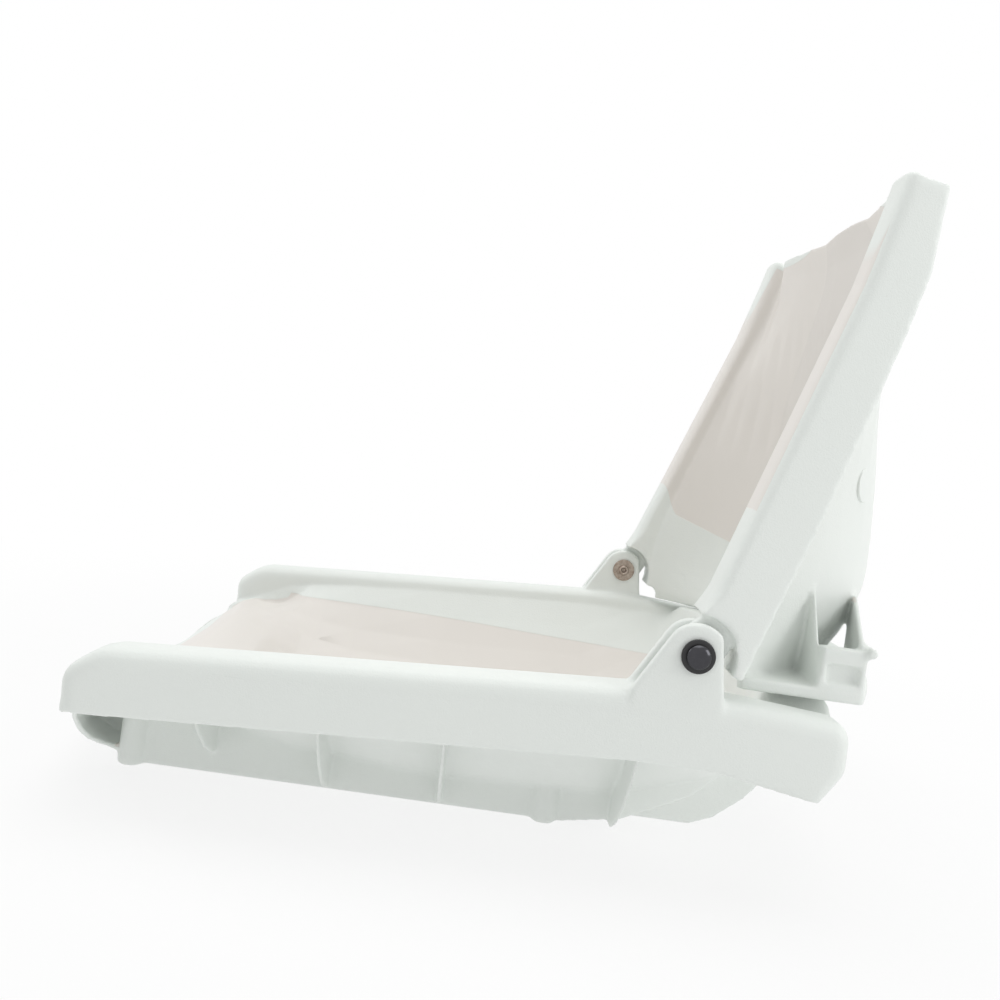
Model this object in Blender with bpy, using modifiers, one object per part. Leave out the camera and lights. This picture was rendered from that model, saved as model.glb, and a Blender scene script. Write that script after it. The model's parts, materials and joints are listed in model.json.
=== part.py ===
"""A folding boat seat: two ribbed plastic mouldings, seat and back, joined by two riveted fork hinges.

The frame: +X is the sitter's left, the seat faces -Y, +Z is up. z = 0 is the plane that the seat is bolted
to, x = 0 is the seat's middle plane. While the pieces are made, y = 0 lies under the third pair of cross ribs;
at the end all of them move so that it lies under the middle of the whole. Lengths are in metres. The back is
modelled open, as it is used.
"""
import math

import bmesh
import bpy
from mathutils import Matrix, Vector

# Overall sizes
SEAT_WIDTH = 0.432
RAIL_WIDTH = 0.036
WALL = 0.004
SEAT_REACH = 0.240
RAIL_TOP = 0.1232
RAIL_RAKE = math.radians(3.66)
RAIL_FILLET = 0.010
REAR_SLOPE = math.radians(4.6)

# The pan and its deck
DECK_HEIGHT = 0.1323
DECK_SINK_AT_RAIL = 0.006

# The hinge
PIVOT_REACH = 0.1467
PIVOT_RISE = 0.0228
EAR_RADIUS = 0.0195
EAR_REAR = 0.0145
EAR_THICKNESS = 0.008
EAR_TOE_REACH = 0.03726
EAR_HEEL_REACH = 0.01986
EAR_FILLET = 0.0012
EAR_PROUD = 0.0004
EAR_ROOT = 0.014
TONGUE_THICKNESS = 0.008
TONGUE_RADIUS = 0.017
TONGUE_CLEARANCE = 0.001
RAIL_END_RADIUS = 0.025
RIVET_RADIUS = 0.004
RIVET_CLEARANCE = 0.0003
BUSHING_WALL = 0.0022
DOME_RADIUS = 0.0077
DOME_HEIGHT = 0.0046
OUTER_WASHER_RADIUS = 0.0105
OUTER_WASHER_THICKNESS = 0.0022
INNER_WASHER_RADIUS = 0.0107
INNER_WASHER_THICKNESS = 0.0014
CLINCH_RADIUS = 0.005
CLINCH_HEIGHT = 0.0022
CLINCH_HOLE_RADIUS = 0.002
CLINCH_HOLE_DEPTH = 0.004
CLINCH_SKIRT_SHARE = 0.55
CLINCH_LIP_SHARES = (0.8, 0.8)
SEAT_GAP = 0.0003

# The back
BACK_LEAN = math.radians(19.3)
BACK_HEIGHT = 0.344
BACK_DEPTH = 0.139
BACK_TAPER = 0.034
RAIL_DEPTH = 0.0338
BACK_FILLET = 0.008

# The back's foot
FOOT_HALF_WIDTH = 0.187
FOOT_THICKNESS = 0.0078
FOOT_REACH = 0.158
FOOT_SIDE_REACH = 0.115
FOOT_FRONT = 0.034
BLOCK_HEIGHT = 0.034
BLOCK_LENGTH = 0.030
BLOCK_WIDTH = 0.012
POCKET_MARGIN = 0.004
POCKET_DEPTH = 0.005
POCKET_CEILING = 0.010
BEAD_RADIUS = 0.0035
BEAD_REACH = 0.0014
BEAD_SIDES = 12
BRACE_HEIGHT = 0.075
BRACE_FOOT_LENGTH = 0.048
BRACE_TOP_SHARES = (0.55, 0.9)
CORNER_WEB_RISE = 0.066
CORNER_WEB_INSET = 0.090

# Ribs under the seat
KEEL_PLACE = 0.067
SKIRT_PLACE = 0.098
RIB_THICKNESS = 0.0032
GUSSET_THICKNESS = 0.0026
GUSSET_END_GAP = 0.0005
POST_RADIUS = 0.0095
POST_INSET = 0.014
POST_SPACING = 0.302
POST_EDGE = 0.0012
RIB_LIFT = 0.0008

# Threaded inserts
INSERT_RADIUS = 0.0048
INSERT_BORE = 0.0032
INSERT_LENGTH = 0.014
INSERT_RECESS = 0.0004

# Plugs in the bucket's outside
PLUG_RADIUS = 0.012
PLUG_THICKNESS = 0.0022
PLUG_SHANK_RADIUS = 0.0050
PLUG_SHANK_LENGTH = 0.0075
PLUG_EDGE_SHARE = 0.4
PLUG_HEIGHT = 0.151
PLUG_PLACE = 0.115

# Modelling values
OVERRUN = 0.010
EMBED = 0.5
MERGE = 0.00005
FINE_MERGE = 0.000004
CURVE_TOLERANCE = 0.0009
FLAT_ANGLE = math.radians(0.05)
PAN_COLUMNS = 10
BUCKET_COLUMNS = 12
ARC_STEPS = 4
ROUND_STEPS = 20
INSERT_STEPS = 16

HALF_WIDTH = SEAT_WIDTH / 2
RAIL_INNER = HALF_WIDTH - RAIL_WIDTH
RAIL_MIDDLE = HALF_WIDTH - RAIL_WIDTH / 2
SEAM = RAIL_INNER + WALL * EMBED
POST_FRONT = SEAT_REACH - POST_INSET

# Outlines, as shares of SEAT_REACH along y and of RAIL_TOP along z, with a corner radius as a share of WALL
SEAT_RAIL_SHARES = (
    (-0.994, 0.545, 0.0),
    (0.479, 0.698, 0.0),
    (0.708, 0.694, 0.0),
    (0.975, 0.612, 0.0),
    (1.035, 0.760, 3.6),
)
SEAT_RAIL_NOSE_SHARES = (
    (-0.885, 0.895, 7.0),
    (-0.986, 0.720, 4.5),
)

# The pan, row by row from under the front lip to the rear edge: middle y and z, edge y and z, share of the
# half width that stays low, power of the rise, and the row's half width as a share
PAN_ROW_SHARES = (
    (-1.025, 0.040, -0.985, 0.060, 0.0, 2.0, 0.550),
    (-1.075, 0.057, -1.025, 0.110, 0.0, 2.0, 0.595),
    (-1.121, 0.122, -1.045, 0.200, 0.0, 2.0, 0.670),
    (-1.150, 0.219, -1.050, 0.320, 0.0, 2.0, 0.765),
    (-1.154, 0.341, -1.040, 0.430, 0.0, 2.0, 0.870),
    (-1.133, 0.463, -1.020, 0.520, 0.0, 2.0, 0.955),
    (-1.083, 0.576, -0.990, 0.575, 0.0, 2.0, 1.000),
    (-1.000, 0.674, -0.960, 0.595, 0.0, 2.2, 1.000),
    (-0.908, 0.722, -0.925, 0.612, 0.0, 2.2, 1.000),
    (-0.833, 0.652, -0.860, 0.670, 0.15, 2.0, 1.000),
    (-0.758, 0.505, -0.775, 0.745, 0.30, 1.8, 1.000),
    (-0.688, 0.375, -0.690, 0.805, 0.38, 1.6, 1.000),
    (-0.604, 0.293, -0.604, 0.835, 0.44, 1.5, 1.000),
    (-0.458, 0.236, -0.458, 0.870, 0.48, 1.45, 1.000),
    (-0.250, 0.196, -0.250, 0.905, 0.48, 1.45, 1.000),
    (0.000, 0.171, 0.000, 0.935, 0.48, 1.45, 1.000),
    (0.250, 0.174, 0.250, 0.965, 0.48, 1.45, 1.000),
    (0.458, 0.178, 0.455, 0.985, 0.46, 1.45, 1.000),
    (0.625, 0.184, 0.610, 0.990, 0.38, 1.45, 1.000),
    (0.750, 0.196, 0.700, 0.985, 0.28, 1.45, 1.000),
    (0.821, 0.244, 0.745, 0.980, 0.25, 1.45, 1.000),
    (0.867, 0.358, 0.765, 0.978, 0.25, 1.45, 1.000),
    (0.896, 0.552, 0.778, 0.976, 0.25, 1.5, 1.000),
    (0.912, 0.780, 0.790, 0.974, 0.30, 1.6, 1.000),
    (0.925, 0.944, 0.800, 0.972, 0.40, 1.8, 1.000),
)
# The deck behind the pan: middle y, edge y, and the drop below the deck's top as a share of RAIL_TOP
DECK_ROW_SHARES = (
    (0.942, 0.818, 0.018),
    (0.966, 0.860, 0.000),
    (1.008, 0.990, 0.000),
    (1.036, 1.022, 0.026),
    (1.050, 1.038, 0.085),
    (1.054, 1.042, 0.180),
)
DECK_LEVEL_SHARE = 0.84

# The bucket of the back, row by row from its foot to its top edge: edge height and depth, middle height and
# depth, as shares of BACK_HEIGHT and of BACK_DEPTH
BUCKET_ROW_SHARES = (
    (-0.013, 0.346, 0.067, 0.903),
    (-0.007, 0.267, 0.090, 0.930),
    (0.023, 0.194, 0.139, 0.971),
    (0.064, 0.144, 0.193, 1.000),
    (0.131, 0.108, 0.265, 0.993),
    (0.218, 0.086, 0.326, 0.953),
    (0.305, 0.079, 0.404, 0.878),
    (0.392, 0.072, 0.480, 0.799),
    (0.494, 0.072, 0.558, 0.705),
    (0.596, 0.068, 0.645, 0.601),
    (0.698, 0.065, 0.733, 0.478),
    (0.791, 0.058, 0.814, 0.356),
    (0.872, 0.050, 0.884, 0.252),
    (0.936, 0.036, 0.940, 0.150),
    (0.978, 0.018, 0.985, 0.040),
)
# The side outline of a back rail, as shares of BACK_HEIGHT up and of RAIL_DEPTH rearward
BACK_RAIL_REAR_SHARES = ((0.30, 1.0), (0.56, 0.965), (0.70, 0.915), (0.82, 0.787), (0.988, 0.325))
BACK_RAIL_FRONT_SHARES = ((1.0, -0.266), (0.977, -0.382), (0.918, -0.322), (0.75, -0.207), (0.12, -0.183))

# The rail's lower tip, depth and height, and the depth of its front corner
RAIL_TIP_SHARES = (0.94, -0.006)
RAIL_CORNER_SHARE = -0.236
# A tongue's front and rear sides, and how far up the rail it goes
TONGUE_DEPTH_SHARES = (-0.145, 0.62)
TONGUE_ROOT_SHARE = 0.2

# The lower edges of the ribs, as shares of SEAT_REACH and RAIL_TOP
KEEL_REAR_SHARES = (
    (0.783, 0.0), (0.858, 0.065), (0.946, 0.203), (0.988, 0.301), (1.012, 0.49), (1.028, 0.73), (1.032, 0.93),
)
SKIRT_REAR_SHARES = (
    (0.367, 0.0), (0.550, 0.065), (0.662, 0.171), (0.750, 0.252), (0.838, 0.414), (0.905, 0.65), (0.96, 0.93),
)
GUSSET_PLACE_SHARES = (-0.696, -0.346, 0.0, 0.521)
GUSSET_TIP_SHARES = (0.12, 0.0, 0.0, 0.0)
GUSSET_EDGE_SHARES = ((0.10, 0.03), (0.35, 0.12), (0.62, 0.28), (0.84, 0.45), (1.0, 0.62))
# How high the ribs and posts are made before the pan's upper side trims them, as shares of RAIL_TOP
TRIM_TOP_SHARE = 4.0
KEEL_TOP_SHARE = 2.0
SKIRT_TOP_SHARE = 2.1
GUSSET_TOP_SHARES = (2.2, 2.3, 2.4, 2.5)
POST_TOP_SHARES = (1.8, 1.7)

PLASTIC_COLOUR = (0.86, 0.88, 0.84, 1.0)
BLACK_COLOUR = (0.02, 0.02, 0.02, 1.0)
DOME_COLOUR = (0.22, 0.22, 0.23, 1.0)
STEEL_COLOUR = (0.42, 0.36, 0.32, 1.0)
BRASS_COLOUR = (0.62, 0.47, 0.22, 1.0)
NYLON_COLOUR = (0.75, 0.75, 0.72, 1.0)


def clear_scene():
    """Remove the objects that the file opened with."""
    for item in list(bpy.data.objects):
        bpy.data.objects.remove(item, do_unlink=True)


def collection(name):
    """Make a collection in the scene."""
    made = bpy.data.collections.new(name)
    bpy.context.scene.collection.children.link(made)
    return made


def material(name, colour, roughness, metallic=0.0):
    """Make a Principled material."""
    made = bpy.data.materials.new(name)
    made.use_nodes = True
    shader = made.node_tree.nodes["Principled BSDF"]
    shader.inputs["Base Color"].default_value = colour
    shader.inputs["Roughness"].default_value = roughness
    shader.inputs["Metallic"].default_value = metallic
    made.diffuse_color = colour
    return made


def add_mesh(name, mesh, target):
    """Put a mesh in the scene as an object."""
    made = bpy.data.objects.new(name, mesh)
    target.objects.link(made)
    return made


def rail_top(y):
    """Height of a seat rail's top line: it climbs to the hinge and falls behind it."""
    hinge_y = PIVOT_REACH
    climb = RAIL_TOP + min(y, hinge_y) * math.tan(RAIL_RAKE)
    return climb - max(y - hinge_y, 0.0) * math.tan(REAR_SLOPE)


PIVOT = Vector((0.0, PIVOT_REACH, rail_top(PIVOT_REACH) + PIVOT_RISE))
BACK_FRAME = Matrix.Translation(PIVOT) @ Matrix.Rotation(-BACK_LEAN, 4, "X")


def back_half_width(height):
    """Outer half width of the back at a height along it: the rails lean together."""
    return HALF_WIDTH - BACK_TAPER * max(height, 0.0) / BACK_HEIGHT


def arc(centre, radius, start, end, steps):
    """Points on a circle from one angle to another, ends included."""
    turn = (end - start) / steps
    return [
        (centre[0] + radius * math.cos(start + turn * i), centre[1] + radius * math.sin(start + turn * i))
        for i in range(steps + 1)
    ]


def rounded(corners, steps=ARC_STEPS):
    """Outline with each corner (p, q, radius) replaced by an arc that fits between its neighbours."""
    outline = []
    for place, (p, q, radius) in enumerate(corners):
        here = Vector((p, q))
        before = Vector(corners[place - 1][:2]) - here
        after = Vector(corners[(place + 1) % len(corners)][:2]) - here
        half = before.angle(after) / 2
        reach = min(radius / math.tan(half), before.length * 0.49, after.length * 0.49) if radius else 0.0
        if reach <= MERGE:
            outline.append((p, q))
            continue
        start = here + before.normalized() * reach
        end = here + after.normalized() * reach
        centre = here + (before.normalized() + after.normalized()).normalized() * (reach / math.cos(half))
        first = math.atan2(start.y - centre.y, start.x - centre.x)
        last = math.atan2(end.y - centre.y, end.x - centre.x)
        swing = (last - first + math.pi) % math.tau - math.pi
        outline += arc(centre, (start - centre).length, first, first + swing, steps)
    return outline


def inset(outline, distance):
    """Outline moved inward by a distance, for an outline that runs anticlockwise."""
    moved = []
    count = len(outline)
    for place in range(count):
        here = Vector(outline[place])
        before = (here - Vector(outline[place - 1])).normalized()
        after = (Vector(outline[(place + 1) % count]) - here).normalized()
        normal = Vector((-before.y - after.y, before.x + after.x))
        normal.normalize()
        spread = max(0.5, math.sqrt(max(0.0, (1 + before.dot(after)) / 2)))
        point = here + normal * (distance / spread)
        moved.append((point.x, point.y))
    return moved


SIDE_PLANE = Matrix(((0, 0, 1, 0), (1, 0, 0, 0), (0, 1, 0, 0), (0, 0, 0, 1)))
FRONT_PLANE = Matrix(((1, 0, 0, 0), (0, 0, -1, 0), (0, 1, 0, 0), (0, 0, 0, 1)))
FLOOR_PLANE = Matrix.Identity(4)


def plate(name, outline, thickness, plane, offset, target):
    """A flat outline with a thickness: a filled 2D curve, made a closed mesh."""
    curve = bpy.data.curves.new(name, "CURVE")
    curve.dimensions = "2D"
    curve.fill_mode = "BOTH"
    curve.extrude = thickness / 2
    spline = curve.splines.new("POLY")
    spline.points.add(len(outline) - 1)
    for point, (p, q) in zip(spline.points, outline):
        point.co = (p, q, 0.0, 1.0)
    spline.use_cyclic_u = True
    drawn = bpy.data.objects.new(name + "_outline", curve)
    target.objects.link(drawn)
    drawn.matrix_world = Matrix.Translation(offset) @ plane
    bpy.context.view_layer.update()
    ready = drawn.evaluated_get(bpy.context.evaluated_depsgraph_get())
    mesh = bpy.data.meshes.new_from_object(ready)
    mesh.transform(drawn.matrix_world)
    bpy.data.objects.remove(drawn, do_unlink=True)
    bpy.data.curves.remove(curve)
    close_mesh(mesh)
    return add_mesh(name, mesh, target)


def close_mesh(mesh, distance=MERGE):
    """Weld a mesh's seams, split the faces that aren't flat and turn all outward."""
    work = bmesh.new()
    work.from_mesh(mesh)
    bmesh.ops.remove_doubles(work, verts=work.verts, dist=distance)
    bmesh.ops.connect_verts_nonplanar(work, angle_limit=FLAT_ANGLE, faces=work.faces)
    bmesh.ops.recalc_face_normals(work, faces=work.faces)
    work.to_mesh(mesh)
    work.free()


def loft(name, sections, target):
    """A closed solid through like outlines, with flat ends."""
    work = bmesh.new()
    rings = [[work.verts.new(point) for point in section] for section in sections]
    for low, high in zip(rings, rings[1:]):
        for i in range(len(low)):
            j = (i + 1) % len(low)
            work.faces.new((low[i], low[j], high[j], high[i]))
    work.faces.new(rings[0])
    work.faces.new(rings[-1])
    bmesh.ops.triangulate(work, faces=[face for face in work.faces if len(face.verts) > 4])
    bmesh.ops.connect_verts_nonplanar(work, angle_limit=FLAT_ANGLE, faces=work.faces)
    bmesh.ops.recalc_face_normals(work, faces=work.faces)
    mesh = bpy.data.meshes.new(name)
    work.to_mesh(mesh)
    work.free()
    return add_mesh(name, mesh, target)


def bar(name, outline, open_points, width, fillet, steps, target):
    """A bar with a side outline, its long edges rounded except along its first points, the open side."""
    sections = []
    for i in list(range(steps + 1)) + list(range(steps, -1, -1)):
        turn = math.pi / 2 * i / steps
        aside = width / 2 - fillet * (1 - math.cos(turn))
        if len(sections) <= steps:
            aside = -aside
        ring_outline = inset(outline, fillet * (1 - math.sin(turn)))
        for point in open_points:
            p, q = ring_outline[point]
            along, across = open_points[point]
            ring_outline[point] = (p if along else outline[point][0], q if across else outline[point][1])
        sections.append([(RAIL_MIDDLE + aside, p, q) for p, q in ring_outline])
    return loft(name, sections, target)


def soften(item, radius, segments, chosen):
    """Round the edges of a mesh object for which chosen(first, second) is true."""
    work = bmesh.new()
    work.from_mesh(item.data)
    edges = [edge for edge in work.edges
             if edge.calc_face_angle(0.0) > math.radians(30) and chosen(edge.verts[0].co, edge.verts[1].co)]
    bmesh.ops.bevel(work, geom=edges, offset=radius, segments=segments, profile=0.5, affect="EDGES",
                    clamp_overlap=True)
    bmesh.ops.remove_doubles(work, verts=work.verts, dist=MERGE)
    bmesh.ops.recalc_face_normals(work, faces=work.faces)
    work.to_mesh(item.data)
    work.free()


def turned(name, profile, target, steps=ROUND_STEPS):
    """A turned shape about local Z: profile points (radius, z) run from the top down its outer side."""
    mesh = bpy.data.meshes.new(name)
    work = bmesh.new()
    points = [work.verts.new((radius, 0.0, z)) for radius, z in profile]
    for first, second in zip(points, points[1:]):
        work.edges.new((first, second))
    work.to_mesh(mesh)
    work.free()
    made = add_mesh(name, mesh, target)
    screw = made.modifiers.new("turn", "SCREW")
    screw.steps = steps
    screw.render_steps = steps
    screw.use_merge_vertices = True
    screw.merge_threshold = MERGE
    screw.use_smooth_shade = False
    apply_all(made)
    close_mesh(made.data)
    return made


def apply_all(item):
    """Replace an object's mesh with its evaluated mesh, and drop its modifiers."""
    bpy.context.view_layer.update()
    ready = item.evaluated_get(bpy.context.evaluated_depsgraph_get())
    mesh = bpy.data.meshes.new_from_object(ready)
    old = item.data
    item.modifiers.clear()
    item.data = mesh
    bpy.data.meshes.remove(old)


def combine(item, others, operation, keep=False):
    """Join others to an object, or cut them from it, and remove them unless they are kept."""
    for other in others:
        change = item.modifiers.new(operation.lower(), "BOOLEAN")
        change.operation = operation
        change.solver = "EXACT"
        change.object = other
        apply_all(item)
        if not keep:
            bpy.data.objects.remove(other, do_unlink=True)
    return item


def place(item, matrix):
    """Move an object's mesh by a matrix, its origin staying at the world's."""
    item.data.transform(matrix)
    return item


def grid_mesh(name, rows):
    """An open surface through rows of points."""
    work = bmesh.new()
    verts = [[work.verts.new(point) for point in row] for row in rows]
    for low, high in zip(verts, verts[1:]):
        for i in range(len(low) - 1):
            work.faces.new((low[i], low[i + 1], high[i + 1]))
            work.faces.new((low[i], high[i + 1], high[i]))
    mesh = bpy.data.meshes.new(name)
    work.to_mesh(mesh)
    work.free()
    return mesh


def sheet(name, rows, thickness, side, target):
    """A shell of a thickness on one side of rows of points: -1 behind their normals, 1 before them."""
    made = add_mesh(name, grid_mesh(name, rows), target)
    wall = made.modifiers.new("wall", "SOLIDIFY")
    wall.thickness = thickness
    wall.offset = side
    wall.use_even_offset = True
    apply_all(made)
    close_mesh(made.data)
    return made


def space_beyond(name, rows, direction, level, target):
    """A closed solid from a surface of rows out to a flat level along a direction's axis."""
    mesh = grid_mesh(name, rows)
    work = bmesh.new()
    work.from_mesh(mesh)
    grown = bmesh.ops.extrude_face_region(work, geom=list(work.faces))["geom"]
    for vert in [part for part in grown if isinstance(part, bmesh.types.BMVert)]:
        vert.co += direction * (level - vert.co.dot(direction))
    bmesh.ops.connect_verts_nonplanar(work, angle_limit=FLAT_ANGLE, faces=work.faces)
    bmesh.ops.recalc_face_normals(work, faces=work.faces)
    work.to_mesh(mesh)
    work.free()
    return add_mesh(name, mesh, target)


def smooth_rows(rows, steps):
    """More rows between the given ones, on a smooth curve through them."""
    finer = []
    last = len(rows) - 1
    for place_low in range(last):
        before = rows[max(place_low - 1, 0)]
        low = rows[place_low]
        high = rows[place_low + 1]
        after = rows[min(place_low + 2, last)]
        for step in range(steps):
            t = step / steps
            finer.append(tuple(
                0.5 * (2 * b + (c - a) * t + (2 * a - 5 * b + 4 * c - d) * t ** 2 + (3 * b - a - 3 * c + d) * t ** 3)
                for a, b, c, d in zip(before, low, high, after)
            ))
    finer.append(tuple(rows[last]))
    return finer


def thinned(rows, places, tolerance):
    """Rows without those that lie within a tolerance of a straight run, going by some of their values."""
    if len(rows) < 3:
        return rows
    first, last = rows[0], rows[-1]
    worst, furthest = 0.0, 0
    for i in range(1, len(rows) - 1):
        for p, q in places:
            run = Vector((last[p] - first[p], last[q] - first[q]))
            point = Vector((rows[i][p] - first[p], rows[i][q] - first[q]))
            away = (point - run * (point.dot(run) / max(run.length_squared, MERGE ** 2))).length
            if away > worst:
                worst, furthest = away, i
    if worst <= tolerance:
        return [first, last]
    return thinned(rows[:furthest + 1], places, tolerance)[:-1] + thinned(rows[furthest:], places, tolerance)


def pan_rows(steps):
    """Rows of the pan and its deck: middle y and z, edge y and z, low share, power and half width."""
    rows = [
        (my * SEAT_REACH, mz * RAIL_TOP, ey * SEAT_REACH, ez * RAIL_TOP, low, power, width * SEAM)
        for my, mz, ey, ez, low, power, width in PAN_ROW_SHARES
    ]
    for my, ey, drop in DECK_ROW_SHARES:
        middle_height = DECK_HEIGHT - drop * RAIL_TOP
        edge_height = rail_top(ey * SEAT_REACH) - DECK_SINK_AT_RAIL - drop * RAIL_TOP
        rows.append((my * SEAT_REACH, middle_height, ey * SEAT_REACH, edge_height, DECK_LEVEL_SHARE, 2.0, SEAM))
    return thinned(smooth_rows(rows, steps), ((0, 1), (2, 3)), CURVE_TOLERANCE)


def pan_points(row, columns):
    """Points across one row of the pan, from just past the middle plane to its edge in the rail's wall."""
    middle_y, middle_z, edge_y, edge_z, low, power, half_width = row
    points = []
    for column in range(-1, columns + 1):
        share = abs(column / columns)
        rise = max(0.0, (share - low) / (1 - low)) ** power
        points.append(Vector((
            column / columns * half_width,
            middle_y + (edge_y - middle_y) * share ** 2,
            middle_z + (edge_z - middle_z) * rise,
        )))
    return points


def lowered(rows, distance):
    """Rows of points moved back along their surface's normals by a distance."""
    mesh = grid_mesh("guide", rows)
    work = bmesh.new()
    work.from_mesh(mesh)
    work.normal_update()
    width = len(rows[0])
    work.verts.ensure_lookup_table()
    moved = [[work.verts[r * width + c].co - work.verts[r * width + c].normal * distance for c in range(width)]
             for r in range(len(rows))]
    work.free()
    bpy.data.meshes.remove(mesh)
    return moved


def cylinder(name, radius, length, centre, axis, target, sides=ROUND_STEPS):
    """A closed cylinder centred on a point, along the X, Y or Z axis."""
    bpy.ops.mesh.primitive_cylinder_add(vertices=sides, radius=radius, depth=length)
    made = bpy.context.object
    made.name = name
    for holder in made.users_collection:
        holder.objects.unlink(made)
    target.objects.link(made)
    turn = {"X": Matrix.Rotation(math.pi / 2, 4, "Y"), "Y": Matrix.Rotation(math.pi / 2, 4, "X"),
            "Z": Matrix.Identity(4)}[axis]
    return place(made, Matrix.Translation(centre) @ turn)


def box(name, low, high, target):
    """A closed box between two corners."""
    bpy.ops.mesh.primitive_cube_add(size=1.0)
    made = bpy.context.object
    made.name = name
    for holder in made.users_collection:
        holder.objects.unlink(made)
    target.objects.link(made)
    low, high = Vector(low), Vector(high)
    size = Matrix.Diagonal((*(high - low), 1.0))
    return place(made, Matrix.Translation((low + high) / 2) @ size)


def same_side(first, second):
    """True for an edge that lies in one side face of a plate."""
    return abs(first.x - second.x) < MERGE


def seat_rail(target):
    """One side rail of the seat: a channel open below, its upper edges rounded."""
    lower = [(y * SEAT_REACH, z * RAIL_TOP, radius * WALL) for y, z, radius in SEAT_RAIL_SHARES]
    rear_top = lower[-1][0]
    nose_y = SEAT_RAIL_NOSE_SHARES[0][0] * SEAT_REACH
    nose = SEAT_RAIL_NOSE_SHARES[1]
    upper = [
        (rear_top, rail_top(rear_top), 3.0 * WALL),
        (PIVOT_REACH, rail_top(PIVOT_REACH), 0.0),
        (nose_y, rail_top(nose_y), SEAT_RAIL_NOSE_SHARES[0][2] * WALL),
        (nose[0] * SEAT_REACH, nose[1] * RAIL_TOP, nose[2] * WALL),
    ]
    outline = rounded(lower + upper)
    open_points = {point: (True, False) for point in range(4)}
    rail = bar("seat_rail", outline, open_points, RAIL_WIDTH, RAIL_FILLET, 3, target)
    hollow = inset(outline, WALL)
    hollow[:4] = [(y, z - WALL - OVERRUN) for y, z in hollow[:4]]
    channel = bar("seat_channel", hollow, open_points, RAIL_WIDTH - 2 * WALL, RAIL_FILLET - WALL, 1, target)
    return combine(rail, [channel], "DIFFERENCE")


def ear_outline():
    """Side outline of a hinge ear: a round head on a foot that widens forward."""
    toe = Vector((PIVOT.y - EAR_TOE_REACH, 0.0))
    heel = Vector((PIVOT.y + EAR_HEEL_REACH, 0.0))
    toe.y = rail_top(toe.x)
    heel.y = rail_top(heel.x)
    pivot = Vector((PIVOT.y, PIVOT.z))
    reach = toe - pivot
    toward_toe = math.atan2(reach.y, reach.x) % math.tau
    tangent = toward_toe - math.acos(EAR_RADIUS / reach.length)
    rear = math.acos(EAR_REAR / EAR_RADIUS)
    head = arc(pivot, EAR_RADIUS, rear, tangent, 2 * ARC_STEPS + 2)
    return [(toe.x, toe.y - EAR_ROOT), (heel.x, heel.y - EAR_ROOT), tuple(heel)] + head + [tuple(toe)]


def hinge_places():
    """Middle of the outer ear, of the tongue and of the inner ear along X."""
    slot = TONGUE_THICKNESS + 2 * TONGUE_CLEARANCE
    outer = HALF_WIDTH - EAR_THICKNESS / 2 + EAR_PROUD
    tongue = HALF_WIDTH + EAR_PROUD - EAR_THICKNESS - slot / 2
    inner = tongue - slot / 2 - EAR_THICKNESS / 2
    return outer, tongue, inner


def rear_edge(shares):
    """Lower rear edge of a lengthwise rib, from shares of the seat's reach and height."""
    return [(y * SEAT_REACH, max(z * RAIL_TOP, RIB_LIFT)) for y, z in shares]


def under_rib(name, lower, place_x, high, target):
    """A lengthwise rib: its lower outline, from front to rear, closed high above the pan."""
    outline = lower + [(lower[-1][0], high), (lower[0][0], high)]
    return plate(name, outline, RIB_THICKNESS, SIDE_PLANE, Vector((place_x, 0.0, 0.0)), target)


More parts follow.
